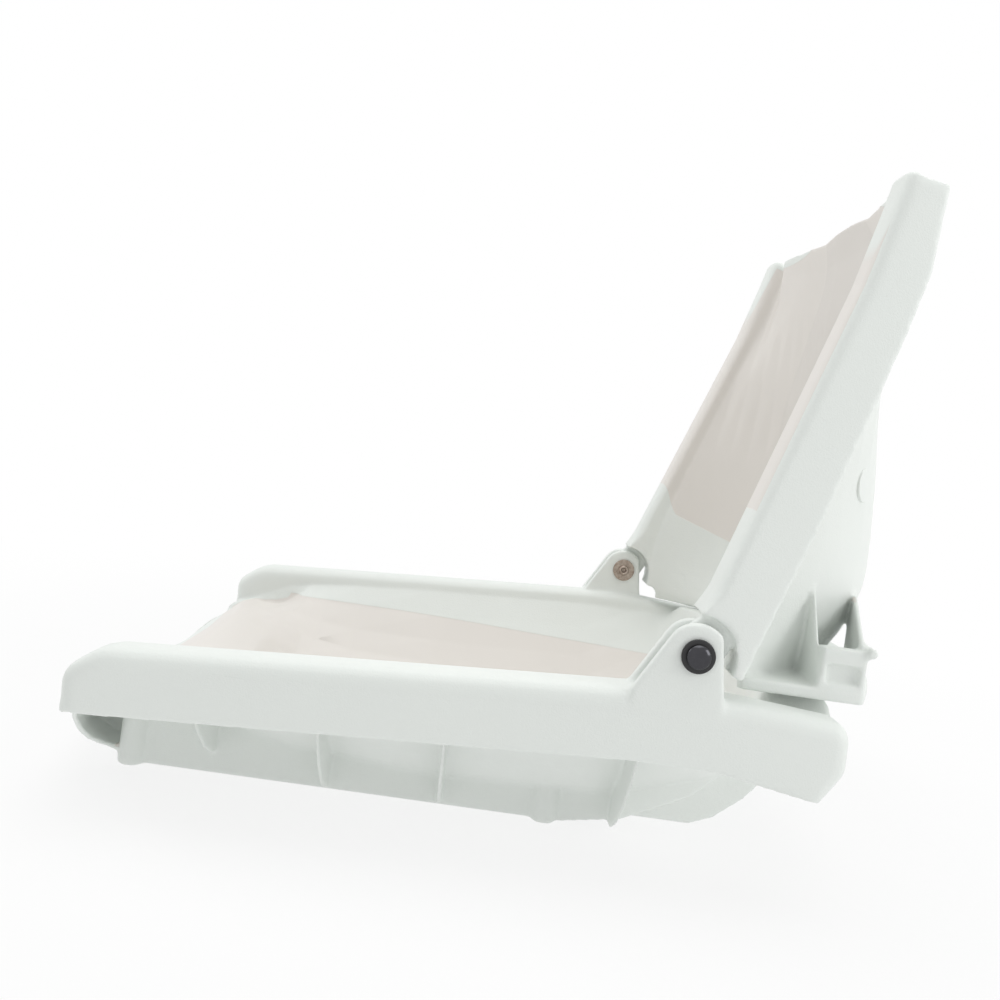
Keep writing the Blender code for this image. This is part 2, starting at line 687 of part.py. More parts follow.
def build_seat(target, finish):
    """The seat moulding: pan, rails, forks, deck, ribs and posts, made as one half and mirrored."""
    rows = pan_rows(2)
    surface = [pan_points(row, PAN_COLUMNS) for row in rows]
    pan = sheet("pan", surface, WALL, -1.0, target)
    middle_surface = lowered(surface, WALL * EMBED)
    foremost = min(range(len(surface) // 3), key=lambda i: surface[i][1].y)
    above = space_beyond("above_pan", middle_surface[foremost:], Vector((0, 0, 1)), TRIM_TOP_SHARE * RAIL_TOP,
                         target)

    keel_column = int(KEEL_PLACE / SEAM * PAN_COLUMNS) + 1
    keel_front = [row[keel_column] for row in middle_surface[:foremost - 1]]
    lower = [(point.y + WALL * EMBED, point.z) for point in reversed(keel_front)]
    lower += [(keel_front[0].y, RIB_LIFT)]
    keel = under_rib("keel_rib", lower + rear_edge(KEEL_REAR_SHARES), KEEL_PLACE, KEEL_TOP_SHARE * RAIL_TOP,
                     target)
    skirt = under_rib("skirt_rib", [(-POST_FRONT, RIB_LIFT)] + rear_edge(SKIRT_REAR_SHARES),
                      SKIRT_PLACE, SKIRT_TOP_SHARE * RAIL_TOP, target)
    features = [keel, skirt]
    width = SEAM - GUSSET_END_GAP - SKIRT_PLACE
    for number, (place_share, tip, top) in enumerate(zip(GUSSET_PLACE_SHARES, GUSSET_TIP_SHARES,
                                                         GUSSET_TOP_SHARES)):
        high = top * RAIL_TOP
        outline = [(SKIRT_PLACE, tip * RAIL_TOP + 2 * RIB_LIFT)]
        outline += [(SKIRT_PLACE + x * width, (tip + (1 - tip) * z) * RAIL_TOP) for x, z in GUSSET_EDGE_SHARES]
        outline += [(SKIRT_PLACE + width, high), (SKIRT_PLACE, high)]
        features.append(plate("gusset_rib_%d" % number, outline, GUSSET_THICKNESS, FRONT_PLANE,
                              Vector((0.0, place_share * SEAT_REACH, 0.0)), target))
    for number, (place_y, top) in enumerate(zip((-POST_FRONT, POST_SPACING - POST_FRONT), POST_TOP_SHARES)):
        tall = top * RAIL_TOP
        post = cylinder("post_%d" % number, POST_RADIUS, tall, Vector((SKIRT_PLACE, place_y, tall / 2)), "Z", target)
        soften(post, POST_EDGE, 2, lambda first, second: max(first.z, second.z) < MERGE)
        features.append(post)
    for feature in features:
        combine(feature, [above], "DIFFERENCE", keep=True)
    bpy.data.objects.remove(above, do_unlink=True)

    seat = seat_rail(target)
    outer, tongue, inner = hinge_places()
    for name, ear_x in (("outer_ear", outer), ("inner_ear", inner)):
        ear = plate(name, ear_outline(), EAR_THICKNESS, SIDE_PLANE, Vector((ear_x, 0.0, 0.0)), target)
        soften(ear, EAR_FILLET, 2, same_side)
        combine(seat, [ear], "UNION")
    pin = cylinder("pin_hole", RIVET_RADIUS + RIVET_CLEARANCE, 2 * RAIL_WIDTH,
                   Vector((tongue, PIVOT.y, PIVOT.z)), "X", target)
    combine(seat, [pin], "DIFFERENCE")
    combine(seat, [pan] + features, "UNION")
    for place_y in (-POST_FRONT, POST_SPACING - POST_FRONT):
        hole = cylinder("insert_hole", INSERT_RADIUS + SEAT_GAP, 2 * (INSERT_LENGTH + INSERT_RECESS),
                        Vector((SKIRT_PLACE, place_y, 0.0)), "Z", target)
        combine(seat, [hole], "DIFFERENCE")
    return finish_half(seat, "seat_shell", finish)


def finish_half(item, name, finish):
    """Mirror a half moulding across the middle plane and give it its name and material."""
    item.name = name
    item.data.name = name
    mirror = item.modifiers.new("other half", "MIRROR")
    mirror.use_axis[0] = True
    mirror.use_bisect_axis[0] = True
    mirror.use_mirror_merge = True
    mirror.merge_threshold = MERGE
    apply_all(item)
    close_mesh(item.data, FINE_MERGE)
    item.data.materials.clear()
    item.data.materials.append(finish)
    item.data.shade_smooth()
    item.data.set_sharp_from_angle(angle=math.radians(32))
    return item


def bucket_rows(steps):
    """Rows of the bucket: edge height and depth, middle height and depth, in the back's own frame."""
    rows = [
        (eh * BACK_HEIGHT, ed * BACK_DEPTH, mh * BACK_HEIGHT, md * BACK_DEPTH)
        for eh, ed, mh, md in BUCKET_ROW_SHARES
    ]
    return thinned(smooth_rows(rows, steps), ((0, 1), (2, 3)), CURVE_TOLERANCE)


def bucket_point(row, x):
    """Point of the bucket's outside on a row at a distance from the middle plane, in the back's own frame."""
    edge_height, edge_depth, middle_height, middle_depth = row
    half_chord = back_half_width(edge_height) - RAIL_WIDTH + WALL * EMBED
    edge = Vector((edge_depth, edge_height))
    middle = Vector((middle_depth, middle_height))
    bow = (middle - edge).length
    radius = (half_chord ** 2 + bow ** 2) / (2 * bow)
    share = (math.sqrt(max(radius ** 2 - x ** 2, 0.0)) - (radius - bow)) / bow
    point = edge + (middle - edge) * share
    return Vector((x, point.x, point.y))


def bucket_points(row, columns):
    """Points across one row of the bucket, at even turns of its arc."""
    edge_height, edge_depth, middle_height, middle_depth = row
    half_chord = back_half_width(edge_height) - RAIL_WIDTH + WALL * EMBED
    bow = (Vector((middle_depth, middle_height)) - Vector((edge_depth, edge_height))).length
    radius = (half_chord ** 2 + bow ** 2) / (2 * bow)
    widest = math.asin(min(1.0, half_chord / radius))
    return [bucket_point(row, radius * math.sin(widest * column / columns)) for column in range(-1, columns + 1)]


def back_rail(target):
    """One side rail of the back: a channel open behind, leaning inward, cut round below about the pivot."""
    tip = RAIL_TIP_SHARES[1] * BACK_HEIGHT
    rear = [(RAIL_TIP_SHARES[0] * RAIL_DEPTH, tip, 0.0)]
    rear += [(depth * RAIL_DEPTH, height * BACK_HEIGHT, 0.0) for height, depth in BACK_RAIL_REAR_SHARES]
    front = [(depth * RAIL_DEPTH, height * BACK_HEIGHT, 0.0) for height, depth in BACK_RAIL_FRONT_SHARES]
    corner_depth = RAIL_CORNER_SHARE * RAIL_DEPTH
    first = math.atan2(math.sqrt(RAIL_END_RADIUS ** 2 - corner_depth ** 2), corner_depth)
    last = math.asin(tip / RAIL_END_RADIUS)
    cut = [(y, z, 0.0) for y, z in arc((0.0, 0.0), RAIL_END_RADIUS, first, last, 2 * ARC_STEPS)]
    outline = rounded(rear + front + cut)
    open_side = len(rear)
    flat = {point: (False, True) for point in range(open_side)}
    flat[0] = (False, False)
    flat.update({point: (False, False) for point in range(len(rear + front), len(outline))})
    rail = bar("back_rail", outline, flat, RAIL_WIDTH, BACK_FILLET, 3, target)
    hollow = inset(outline, WALL)
    hollow[:open_side] = [(y + WALL + OVERRUN, z) for y, z in hollow[:open_side]]
    channel = bar("back_channel", hollow, flat, RAIL_WIDTH - 2 * WALL, BACK_FILLET - WALL, 1, target)
    combine(rail, [channel], "DIFFERENCE")
    for vert in rail.data.vertices:
        vert.co.x -= BACK_TAPER * max(vert.co.z, 0.0) / BACK_HEIGHT
    return rail


def tongue_outline():
    """Side outline of a hinge tongue: a round end about the pivot, widening into the rail."""
    height = TONGUE_ROOT_SHARE * BACK_HEIGHT
    front, rear = (share * RAIL_DEPTH for share in TONGUE_DEPTH_SHARES)
    end = arc((0.0, 0.0), TONGUE_RADIUS, math.radians(175), math.radians(350), 2 * ARC_STEPS)
    return end + [(rear, RAIL_END_RADIUS), (rear, height), (front, height), (front, RAIL_END_RADIUS)]


def build_back(target, finish):
    """The back moulding: bucket, rails, tongues and foot, made as one half and mirrored, then leaned back."""
    to_local = BACK_FRAME.inverted()
    rows = bucket_rows(2)
    outside = [bucket_points(row, BUCKET_COLUMNS) for row in rows]
    bucket = sheet("bucket", outside, WALL, 1.0, target)
    point, normal = plug_seat(rows)
    hole = cylinder("plug_hole", PLUG_SHANK_RADIUS + SEAT_GAP, 4 * WALL, Vector((0.0, 0.0, 0.0)), "Z", target)
    place(hole, facing(point, normal))
    combine(bucket, [hole], "DIFFERENCE")
    middle_surface = lowered(outside, -WALL * EMBED)
    drop = to_local.to_3x3() @ Vector((0.0, 0.0, -OVERRUN))
    inside_rows = [[point + drop for point in middle_surface[0]]] + middle_surface
    forward = to_local.to_3x3() @ Vector((0.0, 1.0, 0.0))
    inside = space_beyond("inside_bucket", inside_rows, forward, -BACK_DEPTH, target)

    foot_low = DECK_HEIGHT + SEAT_GAP
    foot_high = foot_low + FOOT_THICKNESS
    front_y = PIVOT.y + FOOT_FRONT
    side_y = PIVOT.y + FOOT_SIDE_REACH
    rear_y = PIVOT.y + FOOT_REACH
    bow = [(FOOT_HALF_WIDTH * x / 6, rear_y - (rear_y - side_y) * (x / 6) ** 2, WALL if x == 6 else 0.0)
           for x in range(6, -2, -1)]
    outline = rounded([(-FOOT_HALF_WIDTH / 6, front_y, 0.0), (FOOT_HALF_WIDTH, front_y, WALL)] + bow)
    foot = plate("foot", outline, FOOT_THICKNESS, FLOOR_PLANE, Vector((0.0, 0.0, (foot_low + foot_high) / 2)),
                 target)
    block_top = foot_low + BLOCK_HEIGHT
    block = box("block", (FOOT_HALF_WIDTH - BLOCK_WIDTH, side_y - BLOCK_LENGTH, foot_low + FOOT_THICKNESS / 2),
                (FOOT_HALF_WIDTH - EAR_PROUD, side_y - EAR_PROUD, block_top), target)
    pocket = box("pocket", (FOOT_HALF_WIDTH - POCKET_DEPTH, side_y - BLOCK_LENGTH + POCKET_MARGIN,
                            foot_high + POCKET_MARGIN),
                 (FOOT_HALF_WIDTH + OVERRUN, side_y - POCKET_MARGIN, block_top - POCKET_CEILING), target)
    combine(block, [pocket], "DIFFERENCE")
    bead = cylinder("bead", BEAD_RADIUS, BLOCK_WIDTH + POCKET_DEPTH,
                    Vector((FOOT_HALF_WIDTH - BLOCK_WIDTH / 2, side_y + BEAD_REACH, block_top)), "X",
                    target, BEAD_SIDES)
    brace_y = side_y - BLOCK_LENGTH - RIB_THICKNESS / 2 + POCKET_MARGIN / 2
    brace = plate("side_brace", [
        (FOOT_HALF_WIDTH - BRACE_FOOT_LENGTH, foot_low + FOOT_THICKNESS / 2),
        (FOOT_HALF_WIDTH - EAR_PROUD, foot_low + FOOT_THICKNESS / 2),
        (FOOT_HALF_WIDTH - EAR_PROUD, foot_high + WALL),
    ] + [(FOOT_HALF_WIDTH - BRACE_HEIGHT * share, foot_low + BRACE_HEIGHT) for share in BRACE_TOP_SHARES],
        RIB_THICKNESS, FRONT_PLANE, Vector((0.0, brace_y, 0.0)), target)
    web_run = Vector((-CORNER_WEB_INSET, (rear_y - side_y) / 2, 0.0))
    web = plate("corner_web", [
        (0.0, foot_low + FOOT_THICKNESS / 2),
        (web_run.length, foot_low + FOOT_THICKNESS / 2),
        (web_run.length, foot_low + CORNER_WEB_RISE),
        (0.0, block_top + WALL),
    ], RIB_THICKNESS, FRONT_PLANE, Vector((0.0, 0.0, 0.0)), target)
    turn = Matrix.Rotation(math.atan2(web_run.y, web_run.x), 4, "Z")
    place(web, Matrix.Translation(Vector((FOOT_HALF_WIDTH - WALL, side_y - WALL, 0.0))) @ turn)
    combine(foot, [block, bead, brace, web], "UNION")
    place(foot, to_local)
    combine(foot, [inside], "DIFFERENCE")

    back = back_rail(target)
    tongue_x = hinge_places()[1]
    tongue = plate("tongue", tongue_outline(), TONGUE_THICKNESS, SIDE_PLANE, Vector((tongue_x, 0.0, 0.0)), target)
    soften(tongue, EAR_FILLET, 2, same_side)
    combine(back, [tongue], "UNION")
    pin = cylinder("bushing_hole", RIVET_RADIUS + RIVET_CLEARANCE + BUSHING_WALL + SEAT_GAP, 2 * RAIL_WIDTH,
                   Vector((tongue_x, 0.0, 0.0)), "X", target)
    combine(back, [pin], "DIFFERENCE")
    combine(back, [bucket, foot], "UNION")
    back = finish_half(back, "back_shell", finish)
    back.matrix_world = BACK_FRAME
    return back


def plug_seat(rows):
    """Point and outward normal on the bucket's outside where a plug sits, in the back's own frame."""
    points = [bucket_point(row, PLUG_PLACE) for row in rows]
    upper = next(i for i, point in enumerate(points) if point.z > PLUG_HEIGHT)
    low, high = points[upper - 1], points[upper]
    share = (PLUG_HEIGHT - low.z) / (high.z - low.z)
    point = low.lerp(high, share)
    aside = bucket_point(rows[upper], PLUG_PLACE + WALL) - bucket_point(rows[upper], PLUG_PLACE - WALL)
    normal = (high - low).cross(aside).normalized()
    return point, normal if normal.y > 0 else -normal


def facing(point, direction):
    """Matrix that takes local Z to a direction at a point."""
    return Matrix.Translation(point) @ direction.to_track_quat("Z", "Y").to_matrix().to_4x4()


def hinge_parts(target, finishes):
    """Rivet, washers and bushing of the left hinge, turned about X, and their mirrored twins."""
    outer, tongue, inner = hinge_places()
    ear_face = outer + EAR_THICKNESS / 2
    inner_face = inner - EAR_THICKNESS / 2
    washer_low = SEAT_GAP
    dome_low = washer_low + OUTER_WASHER_THICKNESS + SEAT_GAP
    clinch_top = inner_face - ear_face - SEAT_GAP - INNER_WASHER_THICKNESS - SEAT_GAP
    bore = RIVET_RADIUS + RIVET_CLEARANCE
    dome_steps = 6
    dome = [(DOME_RADIUS * math.sin(math.pi / 2 * i / dome_steps),
             dome_low + DOME_HEIGHT * math.cos(math.pi / 2 * i / dome_steps)) for i in range(dome_steps + 1)]
    rivet = dome + [
        (RIVET_RADIUS, dome_low),
        (RIVET_RADIUS, clinch_top),
        (CLINCH_RADIUS, clinch_top),
        (CLINCH_RADIUS, clinch_top - CLINCH_HEIGHT * CLINCH_SKIRT_SHARE),
        (CLINCH_RADIUS * CLINCH_LIP_SHARES[0], clinch_top - CLINCH_HEIGHT),
        (CLINCH_HOLE_RADIUS, clinch_top - CLINCH_HEIGHT * CLINCH_LIP_SHARES[1]),
        (CLINCH_HOLE_RADIUS, clinch_top - CLINCH_HEIGHT + CLINCH_HOLE_DEPTH),
        (0.0, clinch_top - CLINCH_HEIGHT + CLINCH_HOLE_DEPTH),
    ]
    shapes = {
        "hinge_rivet": (rivet, finishes["dome"]),
        "outer_washer": (ring(bore, OUTER_WASHER_RADIUS, washer_low, OUTER_WASHER_THICKNESS), finishes["black"]),
        "inner_washer": (ring(bore, INNER_WASHER_RADIUS,
                              inner_face - ear_face - SEAT_GAP - INNER_WASHER_THICKNESS,
                              INNER_WASHER_THICKNESS), finishes["steel"]),
        "hinge_bushing": (ring(bore, bore + BUSHING_WALL, tongue - TONGUE_THICKNESS / 2 - ear_face,
                               TONGUE_THICKNESS), finishes["nylon"]),
    }
    along_x = Matrix.Rotation(math.pi / 2, 4, "Y")
    for name, (profile, finish) in shapes.items():
        for side, sign in (("left", 1.0), ("right", -1.0)):
            made = turned("%s_%s" % (name, side), profile, target)
            if sign < 0:
                along = Matrix.Rotation(-math.pi / 2, 4, "Y")
            else:
                along = along_x
            place(made, along)
            made.location = (sign * ear_face, PIVOT.y, PIVOT.z)
            dress(made, finish)


def ring(bore, radius, low, thickness):
    """Profile of a ring with a bore, closed on itself, running down its outer side."""
    return [(bore, low + thickness), (radius, low + thickness), (radius, low), (bore, low),
            (bore, low + thickness)]


def dress(item, finish):
    """Give a small piece its material and smooth shading."""
    item.data.materials.clear()
    item.data.materials.append(finish)
    item.data.shade_smooth()
    item.data.set_sharp_from_angle(angle=math.radians(35))


def build_plugs(target, finish):
    """Two round push-in plugs in the bucket's outside."""
    point, normal = plug_seat(bucket_rows(2))
    lift = SEAT_GAP * 2
    edge = PLUG_THICKNESS * PLUG_EDGE_SHARE
    profile = [
        (0.0, lift + PLUG_THICKNESS),
        (PLUG_RADIUS - edge, lift + PLUG_THICKNESS),
        (PLUG_RADIUS, lift + PLUG_THICKNESS - edge),
        (PLUG_RADIUS, lift),
        (PLUG_SHANK_RADIUS, lift),
        (PLUG_SHANK_RADIUS, lift - PLUG_SHANK_LENGTH),
        (0.0, lift - PLUG_SHANK_LENGTH),
    ]
    for side, sign in (("left", 1.0), ("right", -1.0)):
        made = turned("back_plug_%s" % side, profile, target)
        spot = Vector((sign * point.x, point.y, point.z))
        out = Vector((sign * normal.x, normal.y, normal.z))
        place(made, facing(spot, out))
        made.matrix_world = BACK_FRAME
        dress(made, finish)


def build_inserts(target, finish):
    """Four threaded inserts, flush in the posts."""
    profile = ring(INSERT_BORE, INSERT_RADIUS, INSERT_RECESS, INSERT_LENGTH)
    for row, y in (("front", -POST_FRONT), ("rear", POST_SPACING - POST_FRONT)):
        for side, x in (("left", SKIRT_PLACE), ("right", -SKIRT_PLACE)):
            made = turned("mounting_insert_%s_%s" % (row, side), profile, target, INSERT_STEPS)
            made.location = (x, y, 0.0)
            dress(made, finish)


def centre(target):
    """Move every object along Y, so that the origin lies under the middle of the whole."""
    bpy.context.view_layer.update()
    reach = [(item.matrix_world @ vert.co).y for item in target.objects for vert in item.data.vertices]
    middle = (min(reach) + max(reach)) / 2
    for item in target.objects:
        item.location.y -= middle


def main():
    """Build the seat."""
    clear_scene()
    target = collection("folding_boat_seat")
    plastic = material("white_plastic", PLASTIC_COLOUR, 0.5)
    finishes = {
        "dome": material("dark_chrome", DOME_COLOUR, 0.25, 1.0),
        "black": material("black_plastic", BLACK_COLOUR, 0.45),
        "steel": material("plated_steel", STEEL_COLOUR, 0.4, 1.0),
        "nylon": material("nylon", NYLON_COLOUR, 0.5),
        "brass": material("brass", BRASS_COLOUR, 0.35, 1.0),
    }
    build_seat(target, plastic)
    build_back(target, plastic)
    hinge_parts(target, finishes)
    build_plugs(target, plastic)
    build_inserts(target, finishes["brass"])
    centre(target)


main()
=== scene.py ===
"""The looks of a folding boat seat: the skins of its two mouldings, its turned hardware and its studio.

Lengths are in metres, in the seat's own frame: +X is the sitter's left, -Y the front, +Z up. The floor,
at z = 0, is the plane of the mounting feet.
"""
from __future__ import annotations

import json
import logging
import math
from dataclasses import dataclass, field
from enum import Enum
from typing import Any, Callable

import bmesh
import bpy
import numpy as np
from mathutils import Matrix, Vector
from mathutils.bvhtree import BVHTree

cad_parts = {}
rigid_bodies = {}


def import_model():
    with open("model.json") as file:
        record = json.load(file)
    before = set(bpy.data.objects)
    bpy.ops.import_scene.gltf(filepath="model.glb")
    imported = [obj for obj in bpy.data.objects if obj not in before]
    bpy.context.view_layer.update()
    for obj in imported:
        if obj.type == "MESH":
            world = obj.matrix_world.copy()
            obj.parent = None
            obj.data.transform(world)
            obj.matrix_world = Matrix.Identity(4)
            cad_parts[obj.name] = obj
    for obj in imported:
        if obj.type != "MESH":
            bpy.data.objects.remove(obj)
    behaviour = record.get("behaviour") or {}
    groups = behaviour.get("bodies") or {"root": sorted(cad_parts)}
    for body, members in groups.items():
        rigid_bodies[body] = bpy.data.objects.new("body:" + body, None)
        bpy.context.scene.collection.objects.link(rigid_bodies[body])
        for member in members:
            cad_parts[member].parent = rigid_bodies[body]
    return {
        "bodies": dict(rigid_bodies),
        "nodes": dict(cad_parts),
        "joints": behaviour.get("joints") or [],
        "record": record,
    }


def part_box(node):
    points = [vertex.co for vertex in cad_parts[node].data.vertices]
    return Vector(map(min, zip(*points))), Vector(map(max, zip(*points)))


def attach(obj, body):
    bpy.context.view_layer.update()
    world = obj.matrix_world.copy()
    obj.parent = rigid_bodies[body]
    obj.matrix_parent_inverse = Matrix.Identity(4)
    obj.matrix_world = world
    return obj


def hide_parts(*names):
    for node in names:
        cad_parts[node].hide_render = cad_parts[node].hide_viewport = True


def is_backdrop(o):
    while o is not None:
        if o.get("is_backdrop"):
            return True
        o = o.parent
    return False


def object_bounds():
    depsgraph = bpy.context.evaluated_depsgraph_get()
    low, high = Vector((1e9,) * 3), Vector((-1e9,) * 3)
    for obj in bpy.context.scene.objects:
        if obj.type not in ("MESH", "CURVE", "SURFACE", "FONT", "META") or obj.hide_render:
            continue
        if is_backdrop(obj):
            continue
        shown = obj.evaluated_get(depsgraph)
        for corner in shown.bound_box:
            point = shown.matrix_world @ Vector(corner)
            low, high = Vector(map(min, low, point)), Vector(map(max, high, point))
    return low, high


LOG = logging.getLogger("folding_boat_seat")

Colour = tuple[float, float, float]
Range = tuple[float, float]
Stretch = tuple[float, float, float]
Profile = list[tuple[float, float]]
Points = np.ndarray
Reshape = Callable[[Points], Points]

FEATHER = 0.0006
METAL = 1.0
WHITE = (1.0, 1.0, 1.0, 1.0)


def rise(values: Points, low: float, high: float) -> Points:
    """Climb smoothly from 0 to 1.

    Args:
        values: the values that decide.
        low: the level below which the result is 0.
        high: the level above which it is 1.

    Returns:
        The climb at each value.
    """
    share = np.clip((values - low) / (high - low), 0.0, 1.0)
    return share * share * (3.0 - 2.0 * share)


def hill(values: Points, middle: float, reach: float) -> Points:
    """Return 1 at a level, falling smoothly to 0 at a reach on either side."""
    return 1.0 - rise(np.abs(values - middle), 0.0, reach)


def shaded(colour: Colour, share: float) -> Colour:
    """Return a colour made darker or lighter by a share."""
    return tuple(value * share for value in colour)


class Side(Enum):
    """The two sides of the seat, as the sitter has them."""

    LEFT = 1.0
    RIGHT = -1.0

    def named(self, stem: str) -> str:
        """Return a piece's name on this side."""
        return f"{stem}_{self.name.lower()}"


class Zone(Enum):
    """Where a moulding's grained skin gives way to a smooth one."""

    NONE = "grained all over"
    PAN = "smooth where the seat cushion lies"
    BUCKET = "smooth where the back cushion lies"


class Wire:
    """A value on its way through a material's nodes, on which ordinary sums can be written."""

    def __init__(self, tree: bpy.types.NodeTree, socket: bpy.types.NodeSocket) -> None:
        """Keep the node tree and the socket that the value comes out of."""
        self.tree = tree
        self.socket = socket

    def _maths(self, operation: str, *values: Wire | float) -> Wire:
        """Add a Math node.

        Args:
            operation: the node's operation.
            values: its inputs, in order.

        Returns:
            The node's result.
        """
        node = self.tree.nodes.new("ShaderNodeMath")
        node.operation = operation
        for socket, value in zip(node.inputs, values):
            if isinstance(value, Wire):
                self.tree.links.new(value.socket, socket)
            else:
                socket.default_value = value
        return Wire(self.tree, node.outputs[0])

    def __add__(self, other: Wire | float) -> Wire:
        """Return the sum."""
        return self._maths("ADD", self, other)

    __radd__ = __add__

    def __sub__(self, other: Wire | float) -> Wire:
        """Return the difference."""
        return self._maths("SUBTRACT", self, other)

    def __rsub__(self, other: float) -> Wire:
        """Return a number less this value."""
        return self._maths("SUBTRACT", other, self)

    def __mul__(self, other: Wire | float) -> Wire:
        """Return the product."""
        return self._maths("MULTIPLY", self, other)

    __rmul__ = __mul__

    def __pow__(self, other: float) -> Wire:
        """Return this value raised to a power."""
        return self._maths("POWER", self, other)

    def __abs__(self) -> Wire:
        """Return the value without its sign."""
        return self._maths("ABSOLUTE", self)

    def least(self, other: Wire | float) -> Wire:
        """Return the smaller of two values."""
        return self._maths("MINIMUM", self, other)

    def ramp(self, low: float, high: float) -> Wire:
        """Climb smoothly from 0 to 1.

        Args:
            low: the level below which the result is 0.
            high: the level above which it is 1.

        Returns:
            The climb.
        """
        node = self.tree.nodes.new("ShaderNodeMapRange")
        node.interpolation_type = "SMOOTHSTEP"
        self.tree.links.new(self.socket, node.inputs["Value"])
        node.inputs["From Min"].default_value = low
        node.inputs["From Max"].default_value = high
        return Wire(self.tree, node.outputs[0])


class Bench:
    """A node tree in the making, with short ways to add to it."""

    def __init__(self, tree: bpy.types.NodeTree) -> None:
        """Keep the tree."""
        self.tree = tree

    def node(self, kind: str, settings: dict[str, Any] | None = None,
             sockets: dict[str | int, Any] | None = None) -> bpy.types.Node:
        """Add a node.

        Args:
            kind: the node's type.
            settings: its own properties, set first.
            sockets: values or wires for its inputs, by the socket's name or number.

        Returns:
            The node.
        """
        made = self.tree.nodes.new(kind)
        for key, value in (settings or {}).items():
            setattr(made, key, value)
        for key, value in (sockets or {}).items():
            self.feed(made.inputs[key], value)
        return made

    def feed(self, socket: bpy.types.NodeSocket, value: Any) -> None:
        """Give a socket a value, or link a wire to it.

        Args:
            socket: the socket.
            value: the value or the wire.
        """
        if isinstance(value, Wire):
            self.tree.links.new(value.socket, socket)
        else:
            socket.default_value = value

    def wire(self, node: bpy.types.Node, output: str | int = 0) -> Wire:
        """Return one output of a node as a wire."""
        return Wire(self.tree, node.outputs[output])

    def plain(self, kinds: tuple[str, ...]) -> Wire:
        """Tell some kinds of rays from the rest.

        Args:
            kinds: the kinds, as the Light Path node names them.

        Returns:
            1 for rays of these kinds and 0 for all others.
        """
        rays = self.node("ShaderNodeLightPath")
        first, *others = (self.wire(rays, kind) for kind in kinds)
        return sum(others, first).least(1.0)


class Recipe(Bench):
    """A material in the making, round a Principled shader."""

    def __init__(self, name: str) -> None:
        """Start a material under a name."""
        self.material = bpy.data.materials.new(name)
        self.material.use_nodes = True
        super().__init__(self.material.node_tree)
        self.shader = self.tree.nodes["Principled BSDF"]

    def spot(self) -> Wire:
        """Return the place on the piece, in the seat's frame."""
        return self.wire(self.node("ShaderNodeTexCoord"), "Object")

    def axes(self, vector: Wire) -> tuple[Wire, Wire, Wire]:
        """Return a vector's three values."""
        split = self.node("ShaderNodeSeparateXYZ", sockets={"Vector": vector})
        return self.wire(split, "X"), self.wire(split, "Y"), self.wire(split, "Z")

    def facing(self) -> tuple[Wire, Wire, Wire]:
        """Return the way the surface faces, on the piece's own axes."""
        return self.axes(self.wire(self.node("ShaderNodeTexCoord"), "Normal"))

    def noise(self, spot: Wire, size: float, detail: float = 2.0, rough: float = 0.5) -> Wire:
        """Return noise from 0 to 1 with features of about a size."""
        return self.wire(self.node("ShaderNodeTexNoise", sockets={
            "Vector": spot, "Scale": 1 / size, "Detail": detail, "Roughness": rough}))

    def pebbles(self, spot: Wire, size: float) -> Wire:
        """Return rounded cells of about a size, as in a spark-eroded mould."""
        return self.wire(self.node("ShaderNodeTexVoronoi", {"feature": "SMOOTH_F1"}, {
            "Vector": spot, "Scale": 1 / size, "Smoothness": 0.6, "Randomness": 1.0}), "Distance")

    def stretched(self, spot: Wire, stretch: Stretch) -> Wire:
        """Return places scaled by an amount along each axis."""
        return self.wire(self.node("ShaderNodeVectorMath", {"operation": "MULTIPLY"}, {0: spot, 1: stretch}))

    def blend(self, share: Wire, first: Colour | Wire, second: Colour | Wire) -> Wire:
        """Mix two colours.

        Args:
            share: 0 for the first colour, 1 for the second.
            first: the first colour.
            second: the second colour.

        Returns:
            The mixed colour.
        """
        made = self.node("ShaderNodeMix", {"data_type": "RGBA"})
        self.feed(made.inputs["Factor"], share)
        for key, colour in (("A", first), ("B", second)):
            socket = next(s for s in made.inputs if s.name == key and s.type == "RGBA")
            if isinstance(colour, Wire):
                self.feed(socket, colour)
            else:
                socket.default_value = (*colour, 1.0)
        return Wire(self.tree, next(s for s in made.outputs if s.type == "RGBA"))

    def finish(self, colour: Wire | Colour, roughness: Wire | float, height: Wire | None = None,
               metallic: float = 0.0, **constants: float) -> bpy.types.Material:
        """Feed the shader.

        Args:
            colour: base colour.
            roughness: roughness.
            height: relief of the surface in metres, for the bump.
            metallic: 0 for a plastic, 1 for a metal.
            constants: other sockets of the shader, with underscores for spaces.

        Returns:
            The finished material.
        """
        self.feed(self.shader.inputs["Base Color"], colour if isinstance(colour, Wire) else (*colour, 1.0))
        self.feed(self.shader.inputs["Roughness"], roughness)
        self.shader.inputs["Metallic"].default_value = metallic
        for key, value in constants.items():
            self.shader.inputs[key.replace("_", " ")].default_value = value
        if height is not None:
            bump = self.node("ShaderNodeBump", sockets={"Height": height, "Distance": 1.0, "Strength": 1.0})
            self.feed(self.shader.inputs["Normal"], self.wire(bump))
        return self.material


